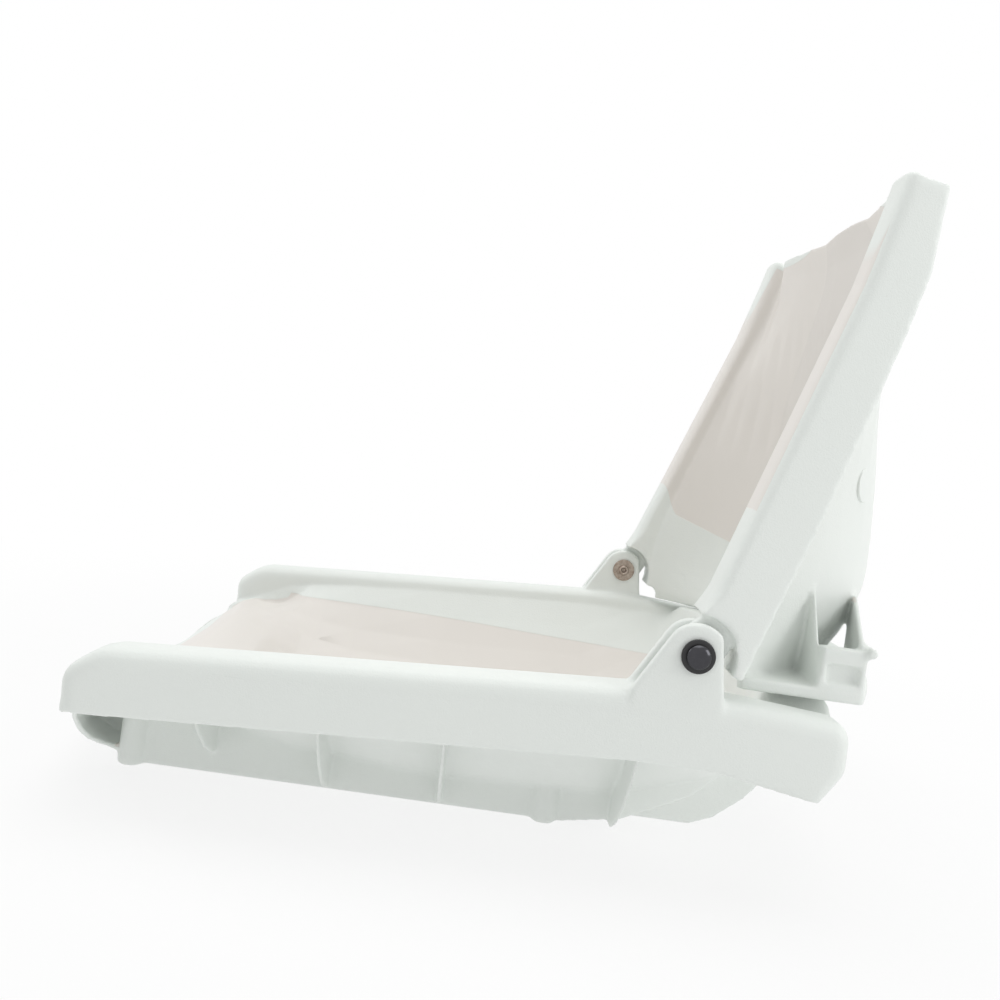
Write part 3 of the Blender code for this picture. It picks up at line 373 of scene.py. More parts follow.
@dataclass(frozen=True)
class BackLean:
    """How the open back stands, and where the two valleys beside its middle panel run."""

    hinge: Vector
    lean: float = math.radians(19.3)
    valley_top: float = 0.340
    valley_start: float = 0.050
    valley_spread: float = 0.8091
    valley_curl: float = 2.5155

    def along(self, y: Any, z: Any) -> Any:
        """Return the height up along the back."""
        return (y - self.hinge.y) * math.sin(self.lean) + (z - self.hinge.z) * math.cos(self.lean)

    def behind(self, y: Any, z: Any) -> Any:
        """Return the distance rearward, square to the back."""
        return (y - self.hinge.y) * math.cos(self.lean) - (z - self.hinge.z) * math.sin(self.lean)

    def valley(self, high: Any) -> Any:
        """Return how far from the middle plane the back's valleys run at a height."""
        drop = self.valley_top - high
        return self.valley_start + drop * self.valley_spread - drop * drop * self.valley_curl

    def place(self, high: Points, deep: Points) -> tuple[Points, Points]:
        """Return y and z of points at heights up along the back and distances behind it."""
        return (self.hinge.y + high * math.sin(self.lean) + deep * math.cos(self.lean),
                self.hinge.z + high * math.cos(self.lean) - deep * math.sin(self.lean))


@dataclass(frozen=True)
class MouldedPlastic:
    """White polypropylene, pebble-grained from the mould, with smooth, warmer cushion beds."""

    grained: Colour = (0.835, 0.865, 0.835)
    smooth: Colour = (0.80, 0.765, 0.725)
    pebble: float = 0.00105
    pebble_depth: float = 0.00010
    uneven_size: float = 0.0032
    uneven_share: float = 0.6
    cloud_size: float = 0.09
    cloud_shade: float = 0.975
    polish_size: float = 0.0006
    polish_depth: float = 0.000012
    scuff_stretch: Stretch = (1.0, 0.12, 0.5)
    scuff_size: float = 0.004
    scuff_level: Range = (0.60, 0.74)
    scuff_shine: float = 0.06
    rough: float = 0.47
    rough_pebbles: float = 0.12
    bed_rough: float = 0.40
    bed_rough_cloud: float = 0.05
    bed_shade: float = 0.985
    bed_step: float = 0.00020
    # Painted shade on the back's middle panel: how dark it is, how soft its edge is, and where it starts.
    panel_painted_shade: float = 0.94
    painted_shade_feather: float = 0.0016
    painted_shade_foot: Range = (0.14, 0.20)
    refraction: float = 1.49
    pan_edge: float = 0.0885
    pan_edge_fall: float = 0.005
    pan_edge_run: Range = (-0.10, 0.15)
    pan_front: float = -0.254
    pan_line: float = 0.001
    pan_half_width: float = 0.1765
    pan_widening: float = 0.05
    pan_widening_run: Range = (-0.200, -0.170)
    pan_facing: Range = (0.03, 0.09)
    back_foot: float = 0.074
    back_foot_climb: float = 0.022
    back_foot_depth: float = 0.020
    back_foot_run: float = 0.028
    back_top: float = 0.350
    back_top_fall: float = 0.018
    back_top_run: Range = (0.050, 0.140)
    back_side: float = -0.0085
    back_facing: Range = (0.10, 0.20)
    back_turn: float = 8.0

    def build(self, name: str, zone: Zone, back: BackLean) -> bpy.types.Material:
        """Make the material.

        Args:
            name: the material's name.
            zone: where the skin is smooth.
            back: how the back stands, for its own cushion bed.

        Returns:
            The material.
        """
        made = Recipe(name)
        spot = made.spot()
        x, y, z = made.axes(spot)
        pebbles = made.pebbles(spot, self.pebble)
        uneven = made.noise(spot, self.uneven_size, 3.0)
        grain = (pebbles + uneven * self.uneven_share) * self.pebble_depth
        broad = made.noise(spot, self.cloud_size, 2.0)
        fine = made.noise(spot, self.polish_size, 1.0)
        streaks = made.noise(made.stretched(spot, self.scuff_stretch), self.scuff_size, 4.0, 0.65)
        scuffs = streaks.ramp(*self.scuff_level)
        plain = made.blend(broad, self.grained, shaded(self.grained, self.cloud_shade))
        rough = self.rough + self.rough_pebbles * pebbles
        if zone is Zone.NONE:
            return made.finish(plain, rough, grain, IOR=self.refraction)
        bed = self._pan_bed(made, x, y, z) if zone is Zone.PAN else self._back_bed(made, back, x, y, z)
        bed_tone_and_painted_shade = made.blend(broad, self.smooth, shaded(self.smooth, self.bed_shade))
        if zone is Zone.BUCKET:
            # Painted shade: the middle panel's bed is darkened to stand in for the light it catches at its
            # own angle.
            bed_tone_and_painted_shade = made.blend(self._painted_shade_panel(back, x, y, z), bed_tone_and_painted_shade, shaded(self.smooth, self.panel_painted_shade))
        relief = grain * (1 - bed) + fine * self.polish_depth * bed - bed * self.bed_step
        bed_rough = self.bed_rough + self.bed_rough_cloud * broad - self.scuff_shine * scuffs
        roughness = rough * (1 - bed) + bed_rough * bed
        return made.finish(made.blend(bed, plain, bed_tone_and_painted_shade), roughness, relief, IOR=self.refraction)

    def _pan_bed(self, made: Recipe, x: Wire, y: Wire, z: Wire) -> Wire:
        """Mark the part of the pan that the seat cushion covers.

        Args:
            made: the material in the making.
            x: place across the seat.
            y: place along the seat.
            z: height.

        Returns:
            1 on the bed and 0 elsewhere.
        """
        _, _, up = made.facing()
        edge = self.pan_edge - y.ramp(*self.pan_edge_run) * self.pan_edge_fall
        wider = y.ramp(*self.pan_widening_run) * self.pan_widening
        within = (self.pan_half_width - abs(x) + wider).ramp(0.0, self.pan_line)
        behind_lip = y.ramp(self.pan_front, self.pan_front + self.pan_line)
        return (edge - z).ramp(-FEATHER, FEATHER) * up.ramp(*self.pan_facing) * (behind_lip * within)

    def _back_bed(self, made: Recipe, back: BackLean, x: Wire, y: Wire, z: Wire) -> Wire:
        """Mark the part of the back's hollow that its cushion covers.

        Args:
            made: the material in the making.
            back: how the back stands.
            x: place across the seat.
            y: place along the seat.
            z: height.

        Returns:
            1 on the bed and 0 elsewhere.
        """
        face_x, face_y, face_z = made.facing()
        inward = face_z * math.sin(back.lean) - face_y * math.cos(back.lean) - face_x * x * self.back_turn
        high = back.along(y, z)
        deep = back.behind(y, z)
        forward = (self.back_foot_depth - deep).ramp(0.0, self.back_foot_run)
        foot = self.back_foot + forward * self.back_foot_climb
        top = self.back_top - abs(x).ramp(*self.back_top_run) * self.back_top_fall
        return ((high - foot).ramp(-FEATHER, FEATHER) * (top - high).ramp(-FEATHER, FEATHER)
                * (deep - self.back_side).ramp(-FEATHER, FEATHER) * inward.ramp(*self.back_facing))

    def _painted_shade_panel(self, back: BackLean, x: Wire, y: Wire, z: Wire) -> Wire:
        """Mark the back's middle panel, where the cushion bed gets a painted shade.

        Args:
            back: how the back stands.
            x: place across the seat.
            y: place along the seat.
            z: height.

        Returns:
            1 between the two valleys and 0 outside them.
        """
        high = back.along(y, z)
        inside = (back.valley(high) - abs(x)).ramp(-self.painted_shade_feather, self.painted_shade_feather)
        return inside * high.ramp(*self.painted_shade_foot)


@dataclass(frozen=True)
class DarkChrome:
    """Dark plating on the rivets' domes, with hairline marks."""

    colour: Colour = (0.055, 0.055, 0.06)
    cloud_size: float = 0.004
    cloud_shade: float = 1.25
    mark_size: float = 0.0004
    mark_stretch: Stretch = (1.0, 1.0, 0.1)
    mark_level: Range = (0.55, 0.75)
    mark_depth: float = 0.000004
    rough: float = 0.14
    rough_cloud: float = 0.06
    rough_marks: float = 0.08

    def build(self, name: str) -> bpy.types.Material:
        """Make the material.

        Args:
            name: the material's name.

        Returns:
            The material.
        """
        made = Recipe(name)
        spot = made.spot()
        streaks = made.noise(made.stretched(spot, self.mark_stretch), self.mark_size, 2.0)
        marks = streaks.ramp(*self.mark_level)
        broad = made.noise(spot, self.cloud_size)
        colour = made.blend(broad, self.colour, shaded(self.colour, self.cloud_shade))
        rough = self.rough + self.rough_cloud * broad + self.rough_marks * marks
        return made.finish(colour, rough, marks * self.mark_depth, METAL)


@dataclass(frozen=True)
class PlatedSteel:
    """Dull plated steel with turning marks round the hinge axis, warm with a little tarnish."""

    axis: Vector
    bright: Colour = (0.47, 0.40, 0.345)
    dull: Colour = (0.30, 0.235, 0.195)
    rings_per_metre: float = 4200.0
    ring_depth: float = 0.00003
    tarnish_size: float = 0.003
    tarnish_level: Range = (0.35, 0.7)
    rough: float = 0.34
    rough_rings: float = 0.18

    def build(self, name: str) -> bpy.types.Material:
        """Make the material.

        Args:
            name: the material's name.

        Returns:
            The material.
        """
        made = Recipe(name)
        spot = made.spot()
        _, y, z = made.axes(spot)
        across = ((y - self.axis.y) ** 2.0 + (z - self.axis.z) ** 2.0) ** 0.5
        rings = made.wire(made.node("ShaderNodeTexNoise", {"noise_dimensions": "1D"},
                                    {"W": across, "Scale": self.rings_per_metre, "Detail": 2.0}))
        tarnish = made.noise(spot, self.tarnish_size, 4.0, 0.6)
        colour = made.blend(tarnish.ramp(*self.tarnish_level), self.bright, self.dull)
        return made.finish(colour, self.rough + self.rough_rings * rings, rings * self.ring_depth, METAL)


@dataclass(frozen=True)
class BlackPlastic:
    """Satin black washers."""

    colour: Colour = (0.012, 0.012, 0.013)
    grain_size: float = 0.0005
    grain_shade: float = 1.7
    grain_depth: float = 0.00002
    rough: float = 0.38
    rough_grain: float = 0.16
    refraction: float = 1.5

    def build(self, name: str) -> bpy.types.Material:
        """Make the material.

        Args:
            name: the material's name.

        Returns:
            The material.
        """
        made = Recipe(name)
        grain = made.noise(made.spot(), self.grain_size, 3.0)
        colour = made.blend(grain, self.colour, shaded(self.colour, self.grain_shade))
        rough = self.rough + self.rough_grain * grain
        return made.finish(colour, rough, grain * self.grain_depth, IOR=self.refraction)


@dataclass(frozen=True)
class Brass:
    """Machined brass, a little darkened."""

    bright: Colour = (0.66, 0.49, 0.22)
    dull: Colour = (0.42, 0.29, 0.12)
    tarnish_size: float = 0.0025
    tarnish_level: Range = (0.4, 0.75)
    turning_size: float = 0.0004
    turning_stretch: Stretch = (0.2, 0.2, 3.0)
    turning_depth: float = 0.00001
    rough: float = 0.26
    rough_turning: float = 0.2

    def build(self, name: str) -> bpy.types.Material:
        """Make the material.

        Args:
            name: the material's name.

        Returns:
            The material.
        """
        made = Recipe(name)
        spot = made.spot()
        tarnish = made.noise(spot, self.tarnish_size, 4.0)
        turning = made.noise(made.stretched(spot, self.turning_stretch), self.turning_size, 1.0)
        colour = made.blend(tarnish.ramp(*self.tarnish_level), self.bright, self.dull)
        rough = self.rough + self.rough_turning * turning
        return made.finish(colour, rough, turning * self.turning_depth, METAL)


@dataclass(frozen=True)
class Nylon:
    """Natural nylon of the hinge sleeves."""

    colour: Colour = (0.62, 0.60, 0.53)
    cloud_size: float = 0.002
    cloud_shade: float = 0.9
    cloud_depth: float = 0.00002
    rough: float = 0.36
    rough_cloud: float = 0.1
    refraction: float = 1.53

    def build(self, name: str) -> bpy.types.Material:
        """Make the material.

        Args:
            name: the material's name.

        Returns:
            The material.
        """
        made = Recipe(name)
        cloud = made.noise(made.spot(), self.cloud_size, 3.0)
        colour = made.blend(cloud, self.colour, shaded(self.colour, self.cloud_shade))
        rough = self.rough + self.rough_cloud * cloud
        return made.finish(colour, rough, cloud * self.cloud_depth, IOR=self.refraction)


def dress(piece: bpy.types.Object, material: bpy.types.Material, body: str, slot: str,
          *nodes: str) -> bpy.types.Object:
    """Give a piece its finish and its place among the moving parts.

    Args:
        piece: the piece, already in place.
        material: its finish.
        body: the part of the seat that it moves with.
        slot: not used.
        nodes: the solids that it stands for.

    Returns:
        The piece.
    """
    piece.data.materials.clear()
    piece.data.materials.append(material)
    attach(piece, body)
    if nodes:
        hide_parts(*nodes)
    LOG.info("made %s, which moves with the %s", piece.name, body)
    return piece


def add(name: str, mesh: bpy.types.Mesh) -> bpy.types.Object:
    """Put a mesh in the scene.

    Args:
        name: the new object's name.
        mesh: its mesh.

    Returns:
        The object.
    """
    made = bpy.data.objects.new(name, mesh)
    bpy.context.scene.collection.objects.link(made)
    return made


def settle(piece: bpy.types.Object) -> None:
    """Apply a piece's modifiers to its mesh.

    Args:
        piece: the piece.
    """
    bpy.context.view_layer.update()
    ready = piece.evaluated_get(bpy.context.evaluated_depsgraph_get())
    mesh = bpy.data.meshes.new_from_object(ready)
    piece.modifiers.clear()
    piece.data = mesh


@dataclass
class Skin:
    """The surface of a moulding: its solid's form, with the soft edges and corners that a mould leaves."""

    name: str
    cell: float = 0.0014
    softness: float = 0.5
    passes: int = 9
    faces: int = 90000
    weld: float = 0.000004

    def build(self, solid: bpy.types.Object, reshape: Reshape) -> bpy.types.Object:
        """Make the skin from the moulding's solid.

        Args:
            solid: the solid, which stays as it is.
            reshape: moves the skin's points to where the fine forms of the moulding have them.

        Returns:
            The skin.
        """
        mesh = bpy.data.meshes.new(self.name)
        work = bmesh.new()
        work.from_mesh(solid.data)
        bmesh.ops.remove_doubles(work, verts=work.verts, dist=self.weld)
        work.to_mesh(mesh)
        work.free()
        made = add(self.name, mesh)
        even = made.modifiers.new("even skin", "REMESH")
        even.mode = "VOXEL"
        even.voxel_size = self.cell
        settle(made)
        points = np.empty(len(made.data.vertices) * 3)
        made.data.vertices.foreach_get("co", points)
        made.data.vertices.foreach_set("co", reshape(points.reshape(-1, 3)).ravel())
        made.data.update()
        soft = made.modifiers.new("soft edges", "SMOOTH")
        soft.factor = self.softness
        soft.iterations = self.passes
        lighter = made.modifiers.new("fewer faces", "DECIMATE")
        lighter.ratio = min(1.0, self.faces / (2 * len(made.data.polygons)))
        settle(made)
        made.data.shade_smooth()
        LOG.info("%s has %d faces", self.name, len(made.data.polygons))
        return made


@dataclass
class Turning:
    """A turned piece: a profile swept round an axis, with its corners broken."""

    name: str
    profile: Profile
    steps: int = 72
    edge: float = 0.0002
    closed: bool = False
    on_axis: float = 1e-7
    crease: float = math.radians(50)
    straight: float = math.radians(150)
    cut_share: float = 0.45
    arc_shares: tuple[float, ...] = (0.0, 0.33, 0.67, 1.0)

    def build(self, frame: Matrix) -> bpy.types.Object:
        """Make the piece.

        Args:
            frame: takes the profile's axis, local Z, to its place.

        Returns:
            The piece.
        """
        work = bmesh.new()
        outline = self._broken()
        rings = []
        for radius, z in outline:
            if radius < self.on_axis:
                rings.append([work.verts.new((0.0, 0.0, z))])
                continue
            rings.append([work.verts.new((radius * math.cos(math.tau * i / self.steps),
                                          radius * math.sin(math.tau * i / self.steps), z))
                          for i in range(self.steps)])
        pairs = list(zip(rings, rings[1:])) + ([(rings[-1], rings[0])] if self.closed else [])
        for low, high in pairs:
            for i in range(self.steps):
                j = (i + 1) % self.steps
                corners = [low[i % len(low)], low[j % len(low)], high[j % len(high)], high[i % len(high)]]
                work.faces.new(list(dict.fromkeys(corners)))
        bmesh.ops.recalc_face_normals(work, faces=work.faces)
        mesh = bpy.data.meshes.new(self.name)
        work.to_mesh(mesh)
        work.free()
        mesh.transform(frame)
        mesh.shade_smooth()
        mesh.set_sharp_from_angle(angle=self.crease)
        return add(self.name, mesh)

    def _broken(self) -> Profile:
        """Cut each sharp corner of the profile by a small arc.

        Returns:
            The new profile.
        """
        points = self.profile
        count = len(points)
        smooth: Profile = []
        for i, (radius, z) in enumerate(points):
            if not self.closed and i in (0, count - 1):
                smooth.append((radius, z))
                continue
            here = Vector((radius, z))
            before = Vector(points[i - 1]) - here
            after = Vector(points[(i + 1) % count]) - here
            reach = min(self.edge, before.length * self.cut_share, after.length * self.cut_share)
            if before.length * after.length == 0 or before.angle(after) > self.straight:
                smooth.append((radius, z))
                continue
            start = here + before.normalized() * reach
            end = here + after.normalized() * reach
            for share in self.arc_shares:
                bend = start.lerp(here, share).lerp(here.lerp(end, share), share)
                smooth.append((bend.x, bend.y))
        return smooth


@dataclass
class Moulding:
    """A one-piece moulding, seat or back."""

    node: str
    body: str
    zone: Zone
    back: BackLean
    plastic: MouldedPlastic = field(default_factory=MouldedPlastic)

    def build(self, frame: dict[str, Any]) -> bpy.types.Object:
        """Make the moulding's skin over its solid.

        Args:
            frame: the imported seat.

        Returns:
            The skin.
        """
        solid = frame["nodes"][self.node]
        skin = Skin(self.node + "_skin").build(solid, lambda points: self.reshape(points, solid))
        material = self.plastic.build(self.node + "_plastic", self.zone, self.back)
        return dress(skin, material, self.body, "white_plastic", self.node)

    def reshape(self, points: Points, solid: bpy.types.Object) -> Points:
        """Return the skin's points as they are, where a moulding asks for no more."""
        return points


@dataclass
class SeatMoulding(Moulding):
    """The seat: ahead of a low crest the pan falls steeply to its lip, and the rails' noses are full."""

    pan_half_width: float = 0.1765
    pan_reach: float = -0.170
    overlap: float = 0.002
    ease: float = 0.006
    side_fade: Range = (-0.001, 0.0015)
    rear_fade: Range = (-0.212, -0.178)
    crest: float = -0.235
    crest_height: float = 0.068
    crest_climb: float = 0.0085
    crest_width: float = 0.15
    crown: float = 8.0
    crown_width: float = 0.10
    slope: float = 0.62
    side_slope: float = 0.25
    roll: float = 0.008
    base: float = 0.012
    above: float = 0.3
    rail_inside: float = 0.180
    nose: float = -0.244
    nose_reach: float = 0.030
    nose_climb: Range = (0.074, 0.096)
    nose_fill: float = 0.0045
    nose_lift_share: float = 0.3

    def reshape(self, points: Points, solid: bpy.types.Object) -> Points:
        """Lower the pan's front and fill the rails' noses.

        Args:
            points: the skin's points.
            solid: the solid, whose height the lowering is measured from.

        Returns:
            The points in their new places.
        """
        x, y, z = points.T.copy()
        aside = np.abs(x)
        tree = BVHTree.FromPolygons([vert.co[:] for vert in solid.data.vertices],
                                    [face.vertices[:] for face in solid.data.polygons])
        down = Vector((0.0, 0.0, -1.0))
        near = (y < self.pan_reach) & (aside < self.pan_half_width + self.overlap) & (z > self.base)
        side_start, side_end = (self.pan_half_width + step for step in self.side_fade)
        for i in np.flatnonzero(near):
            place, _, _, _ = tree.ray_cast(Vector((x[i], y[i], self.above)), down)
            if place is None or place.z <= self.base:
                continue
            over = place.z - self.target(aside[i], y[i])
            drop = over * float(rise(np.float64(over), 0.0, self.ease))
            drop *= 1.0 - float(rise(aside[i], side_start, side_end))
            drop *= 1.0 - float(rise(y[i], *self.rear_fade))
            z[i] -= drop * (z[i] - self.base) / (place.z - self.base)
        on_rail = rise(aside, self.rail_inside - self.overlap, self.rail_inside + self.overlap)
        nose = hill(y, self.nose, self.nose_reach) * rise(z, *self.nose_climb) * on_rail
        lift = self.nose_lift_share * self.nose_fill * nose
        return np.column_stack((x, y - self.nose_fill * nose, z + lift))

    def target(self, aside: float, y: float) -> float:
        """Return how high the pan's top lies near its front.

        Args:
            aside: distance from the middle plane.
            y: place along the seat.

        Returns:
            The height: a low crown behind the crest, and a steep fall ahead of it.
        """
        crest = self.crest_height + self.crest_climb * min(1.0, aside / self.crest_width) ** 2
        behind = y - self.crest
        if behind > 0:
            flat = float(rise(aside, self.crown_width, self.crest_width))
            return crest - self.crown * behind * behind * (1.0 - flat)
        slope = self.slope + self.side_slope * min(1.0, (aside / self.crown_width) ** 2)
        return crest - slope * behind * behind / (self.roll - behind)


@dataclass
class BackMoulding(Moulding):
    """The back: a valley between its middle and each side panel, a raised top edge and flat rail ends."""

    valley_depth: float = 0.0050
    valley_reach: float = 0.034
    valley_foot: Range = (0.10, 0.19)
    valley_head: Range = (0.30, 0.34)
    valley_fade: float = 0.6
    rail_inside: float = 0.144
    rail_fade: Range = (-0.006, 0.003)
    rail_end: float = 0.337
    rail_flatten: float = 0.55
    rail_widen: float = 0.0045
    rail_run: Range = (0.22, 0.335)
    rear_fade: Range = (-0.002, 0.010)
    corner_lift: float = 0.0035
    corner_run: Range = (0.318, 0.338)
    edge_lift: float = 0.0085
    edge_run: Range = (0.288, 0.334)
    edge_dip: float = 0.0012
    edge_dip_place: float = 0.052
    edge_dip_reach: float = 0.028
    edge_fall: float = 0.0045
    edge_fall_run: Range = (0.085, 0.138)
    edge_forward: float = 0.006

    def reshape(self, points: Points, solid: bpy.types.Object) -> Points:
        """Press in the valleys, raise the top edge and flatten the rails' ends.

        Args:
            points: the skin's points.
            solid: the solid, which isn't needed here.

        Returns:
            The points in their new places.
        """
        x, y, z = points.T.copy()
        high = self.back.along(y, z)
        deep = self.back.behind(y, z)
        aside = np.abs(x)
        middle = 1.0 - rise(aside, *(self.rail_inside + step for step in self.rail_fade))
        valley = np.clip(1.0 - np.abs(aside - self.back.valley(high)) / self.valley_reach, 0.0, 1.0)
        along = rise(high, *self.valley_foot) * (1 - self.valley_fade * rise(high, *self.valley_head))
        deep = deep + self.valley_depth * valley * middle * along
        dip = self.edge_dip * hill(aside, self.edge_dip_place, self.edge_dip_reach)
        outward = rise(aside, *self.edge_fall_run)
        lift = self.edge_lift - dip - self.edge_fall * outward
        over = np.clip(high - self.rail_end, 0.0, None)
        edge = rise(high, *self.edge_run)
        rear = rise(deep, *self.rear_fade)
        forward = self.edge_forward * middle * edge * outward
        rearward = self.rail_widen * (1.0 - middle) * rise(high, *self.rail_run) * rear
        corner = self.corner_lift * (1.0 - middle) * rise(high, *self.corner_run) * rear
        deep = deep - forward + rearward
        high = high + lift * middle * edge - self.rail_flatten * over * (1.0 - middle) + corner
        return np.column_stack((x, *self.back.place(high, deep)))


@dataclass
class HingeHardware:
    """One side's rivet, with its dome, shank and clinched end, and the washers under its two heads."""

    side: Side
    hinge: Vector
    rim: float = 0.0009
    dome_gap: float = 0.0003
    dome_steps: int = 14
    dome_sides: int = 96
    head_edge: float = 0.0003
    shank_radius: float = 0.0041
    shank_reach: float = 0.0040
    pin_radius: float = 0.0040
    pin_reach: float = 0.0045
    clinch_radius: float = 0.0050
    clinch_gap: float = 0.0003
    clinch_brim: float = 0.0012
    curl: tuple[Range, ...] = ((0.86, 0.0002), (0.66, 0.0), (0.52, 0.0004))
    eyelet_radius: float = 0.0021
    eyelet_lip: float = 0.0011
    eyelet_depth: float = 0.0040
    eyelet_floor: float = 0.0043
    eyelet_taper_share: float = 0.9
    outer_bore: float = 0.0045
    outer_edge: float = 0.0006
    inner_bore: float = 0.0043
    inner_edge: float = 0.00035

    def _frame(self) -> Matrix:
        """Return the matrix that lays local Z along the hinge axis, outward."""
        turn = Matrix.Rotation(self.side.value * math.pi / 2, 4, "Y")
        return Matrix.Translation((0.0, self.hinge.y, self.hinge.z)) @ turn

    def _reach(self, node: str) -> tuple[float, float, float]:
        """Measure a solid on the hinge axis.

        Args:
            node: the solid's name.

        Returns:
            Its inner and outer distance from the middle plane, and its radius.
        """
        low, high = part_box(node)
        near, far = sorted((abs(low.x), abs(high.x)))
        return near, far, (high.z - low.z) / 2

    def build(self, chrome: bpy.types.Material, black: bpy.types.Material,
              steel: bpy.types.Material) -> None:
        """Make the rivet and its two washers.

        Args:
            chrome: finish of the dome.
            black: finish of the outer washer.
            steel: finish of the inner washer and of the clinched end.
        """
        frame = self._frame()
        rivet = self.side.named("hinge_rivet")
        inner_end, crown, radius = self._reach(rivet)
        outer = self.side.named("outer_washer")
        inner = self.side.named("inner_washer")
        seat_face, cap, outer_radius = self._reach(outer)
        under, over, inner_radius = self._reach(inner)
        dome = self._dome(radius, cap, crown, seat_face)
        head = Turning(rivet + "_dome", dome, self.dome_sides, self.head_edge)
        dress(head.build(frame), chrome, "seat", "dark_chrome", rivet)
        end = Turning(rivet + "_clinch", self._clinch(seat_face, under, inner_end), edge=self.head_edge)
        dress(end.build(frame), steel, "seat", "plated_steel")
        self._washer(outer, outer_radius, self.outer_bore, seat_face, cap, self.outer_edge, black,
                     "black_plastic", frame)
        self._washer(inner, inner_radius, self.inner_bore, under, over, self.inner_edge, steel,
                     "plated_steel", frame)

    def _dome(self, radius: float, cap: float, crown: float, seat_face: float) -> Profile:
        """Draw the rivet's dome and the start of its shank.

        Args:
            radius: the dome's radius.
            cap: distance of the outer washer's outer face from the middle plane.
            crown: distance of the dome's crown from the middle plane.
            seat_face: distance of the fork's outer face from the middle plane.

        Returns:
            The profile, from the crown to the shank's end.
        """
        low = cap + self.dome_gap
        swell = crown - low - self.rim
        turns = [math.pi / 2 * i / self.dome_steps for i in range(self.dome_steps + 1)]
        dome = [(radius * math.sin(turn), low + self.rim + swell * math.cos(turn)) for turn in turns]
        end = seat_face - self.shank_reach
        return dome + [(radius, low), (self.shank_radius, low), (self.shank_radius, end), (0.0, end)]

    def _clinch(self, seat_face: float, under: float, inner_end: float) -> Profile:
        """Draw the rivet's pin, its clinched end and the eyelet in it.

        Args:
            seat_face: distance of the fork's outer face from the middle plane.
            under: distance of the inner washer's inner face from the middle plane.
            inner_end: distance of the rivet's inner end from the middle plane.

        Returns:
            The profile, from the pin's outer end to the bottom of the eyelet.
        """
        start = seat_face - self.pin_reach
        back = under - self.clinch_gap
        end = [(0.0, start), (self.pin_radius, start), (self.pin_radius, back),
               (self.clinch_radius, back), (self.clinch_radius, under - self.clinch_brim)]
        end += [(self.clinch_radius * share, inner_end + step) for share, step in self.curl]
        return end + [(self.eyelet_radius, inner_end + self.eyelet_lip),
                      (self.eyelet_radius * self.eyelet_taper_share, inner_end + self.eyelet_depth),
                      (0.0, inner_end + self.eyelet_floor)]

    def _washer(self, node: str, radius: float, bore: float, low: float, high: float, edge: float,
                material: bpy.types.Material, slot: str, frame: Matrix) -> None:
        """Make a washer with rounded edges.

        Args:
            node: the solid that it stands for.
            radius: outer radius.
            bore: inner radius.
            low: distance of its inner face from the middle plane.
            high: distance of its outer face from the middle plane.
            edge: reach of its rounded edges.
            material: its finish.
            slot: the slot that the finish comes from.
            frame: takes the hinge axis, local Z, to its place.
        """
        profile: Profile = [(bore, high), (radius, high), (radius, low), (bore, low)]
        piece = Turning(node + "_ring", profile, edge=edge, closed=True).build(frame)
        dress(piece, material, "seat", slot, node)


@dataclass
class ThreadedInsert:
    """A brass insert in a foot, its bore with a ridge for each turn of the thread."""

    node: str
    pitch: float = 0.00127
    thread_depth: float = 0.0006
    thread_start_share: float = 0.25
    wall: float = 0.0016
    sides: int = 48
    edge: float = 0.00008

    def build(self, brass: bpy.types.Material) -> None:
        """Make the insert where its solid is.

        Args:
            brass: the insert's finish.
        """
        low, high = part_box(self.node)
        middle = (low + high) / 2
        outer = (high.x - low.x) / 2
        bore = outer - self.wall
        length = high.z - low.z
        profile: Profile = [(outer, length), (outer, 0.0), (bore + self.thread_depth, 0.0)]
        turns = int(length / self.pitch)
        for turn in range(turns):
            z = length * (turn + self.thread_start_share) / turns
            profile += [(bore, z), (bore + self.thread_depth, z + length / turns / 2)]
        profile += [(bore + self.thread_depth, length)]
        frame = Matrix.Translation((middle.x, middle.y, low.z))
        piece = Turning(self.node + "_thread", profile, self.sides, self.edge, closed=True).build(frame)
        dress(piece, brass, "seat", "brass", self.node)


@dataclass
class BackPlug:
    """A round push-in plug in the back's outside: a low crowned cap on a shank."""

    side: Side
    crown: float = 0.0004
    crown_steps: int = 8
    rim: float = 0.0009
    edge: float = 0.0003
    least_thickness: float = 0.0015
    shank_share: float = 0.42
    rim_share: float = 0.985
    least_rearward: float = 0.3

    def build(self, frame: dict[str, Any], plastic: bpy.types.Material) -> None:
        """Make the plug where its solid is, facing the way it faces.

        Args:
            frame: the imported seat.
            plastic: the plug's finish.
        """
        node = self.side.named("back_plug")
        points = [vert.co.copy() for vert in frame["nodes"][node].data.vertices]
        middle = sum(points, Vector()) / len(points)
        axis = self._axis(frame["nodes"][node])
        reach = [point.dot(axis) for point in points]
        top, bottom = max(reach), min(reach)
        radius = max((point - middle - axis * (point - middle).dot(axis)).length for point in points)
        centre = middle - axis * middle.dot(axis)
        thick = min(top - value for value in reach if top - value > self.least_thickness)
        shares = [i / self.crown_steps for i in range(self.crown_steps + 1)]
        rim = radius * self.rim_share
        shank = radius * self.shank_share
        profile: Profile = [(rim * share, top - self.crown * share ** 2) for share in shares]
        profile += [(radius, top - self.rim), (radius, top - thick), (shank, top - thick), (shank, bottom),
                    (0.0, bottom)]
        turn = axis.to_track_quat("Z", "Y").to_matrix().to_4x4()
        cap = Turning(node + "_cap", profile, edge=self.edge)
        piece = cap.build(Matrix.Translation(centre) @ turn)
        dress(piece, plastic, "back", "white_plastic", node)

    def _axis(self, solid: bpy.types.Object) -> Vector:
        """Find the way the plug's broad cap faces.

        Args:
            solid: the plug's solid.

        Returns:
            The direction, of length 1.
        """
        total: dict[tuple[float, ...], float] = {}
        for face in solid.data.polygons:
            key = tuple(round(value, 2) for value in face.normal)
            total[key] = total.get(key, 0.0) + face.area
        key = max((k for k in total if k[1] > self.least_rearward), key=lambda k: total[k])
        return Vector(key).normalized()


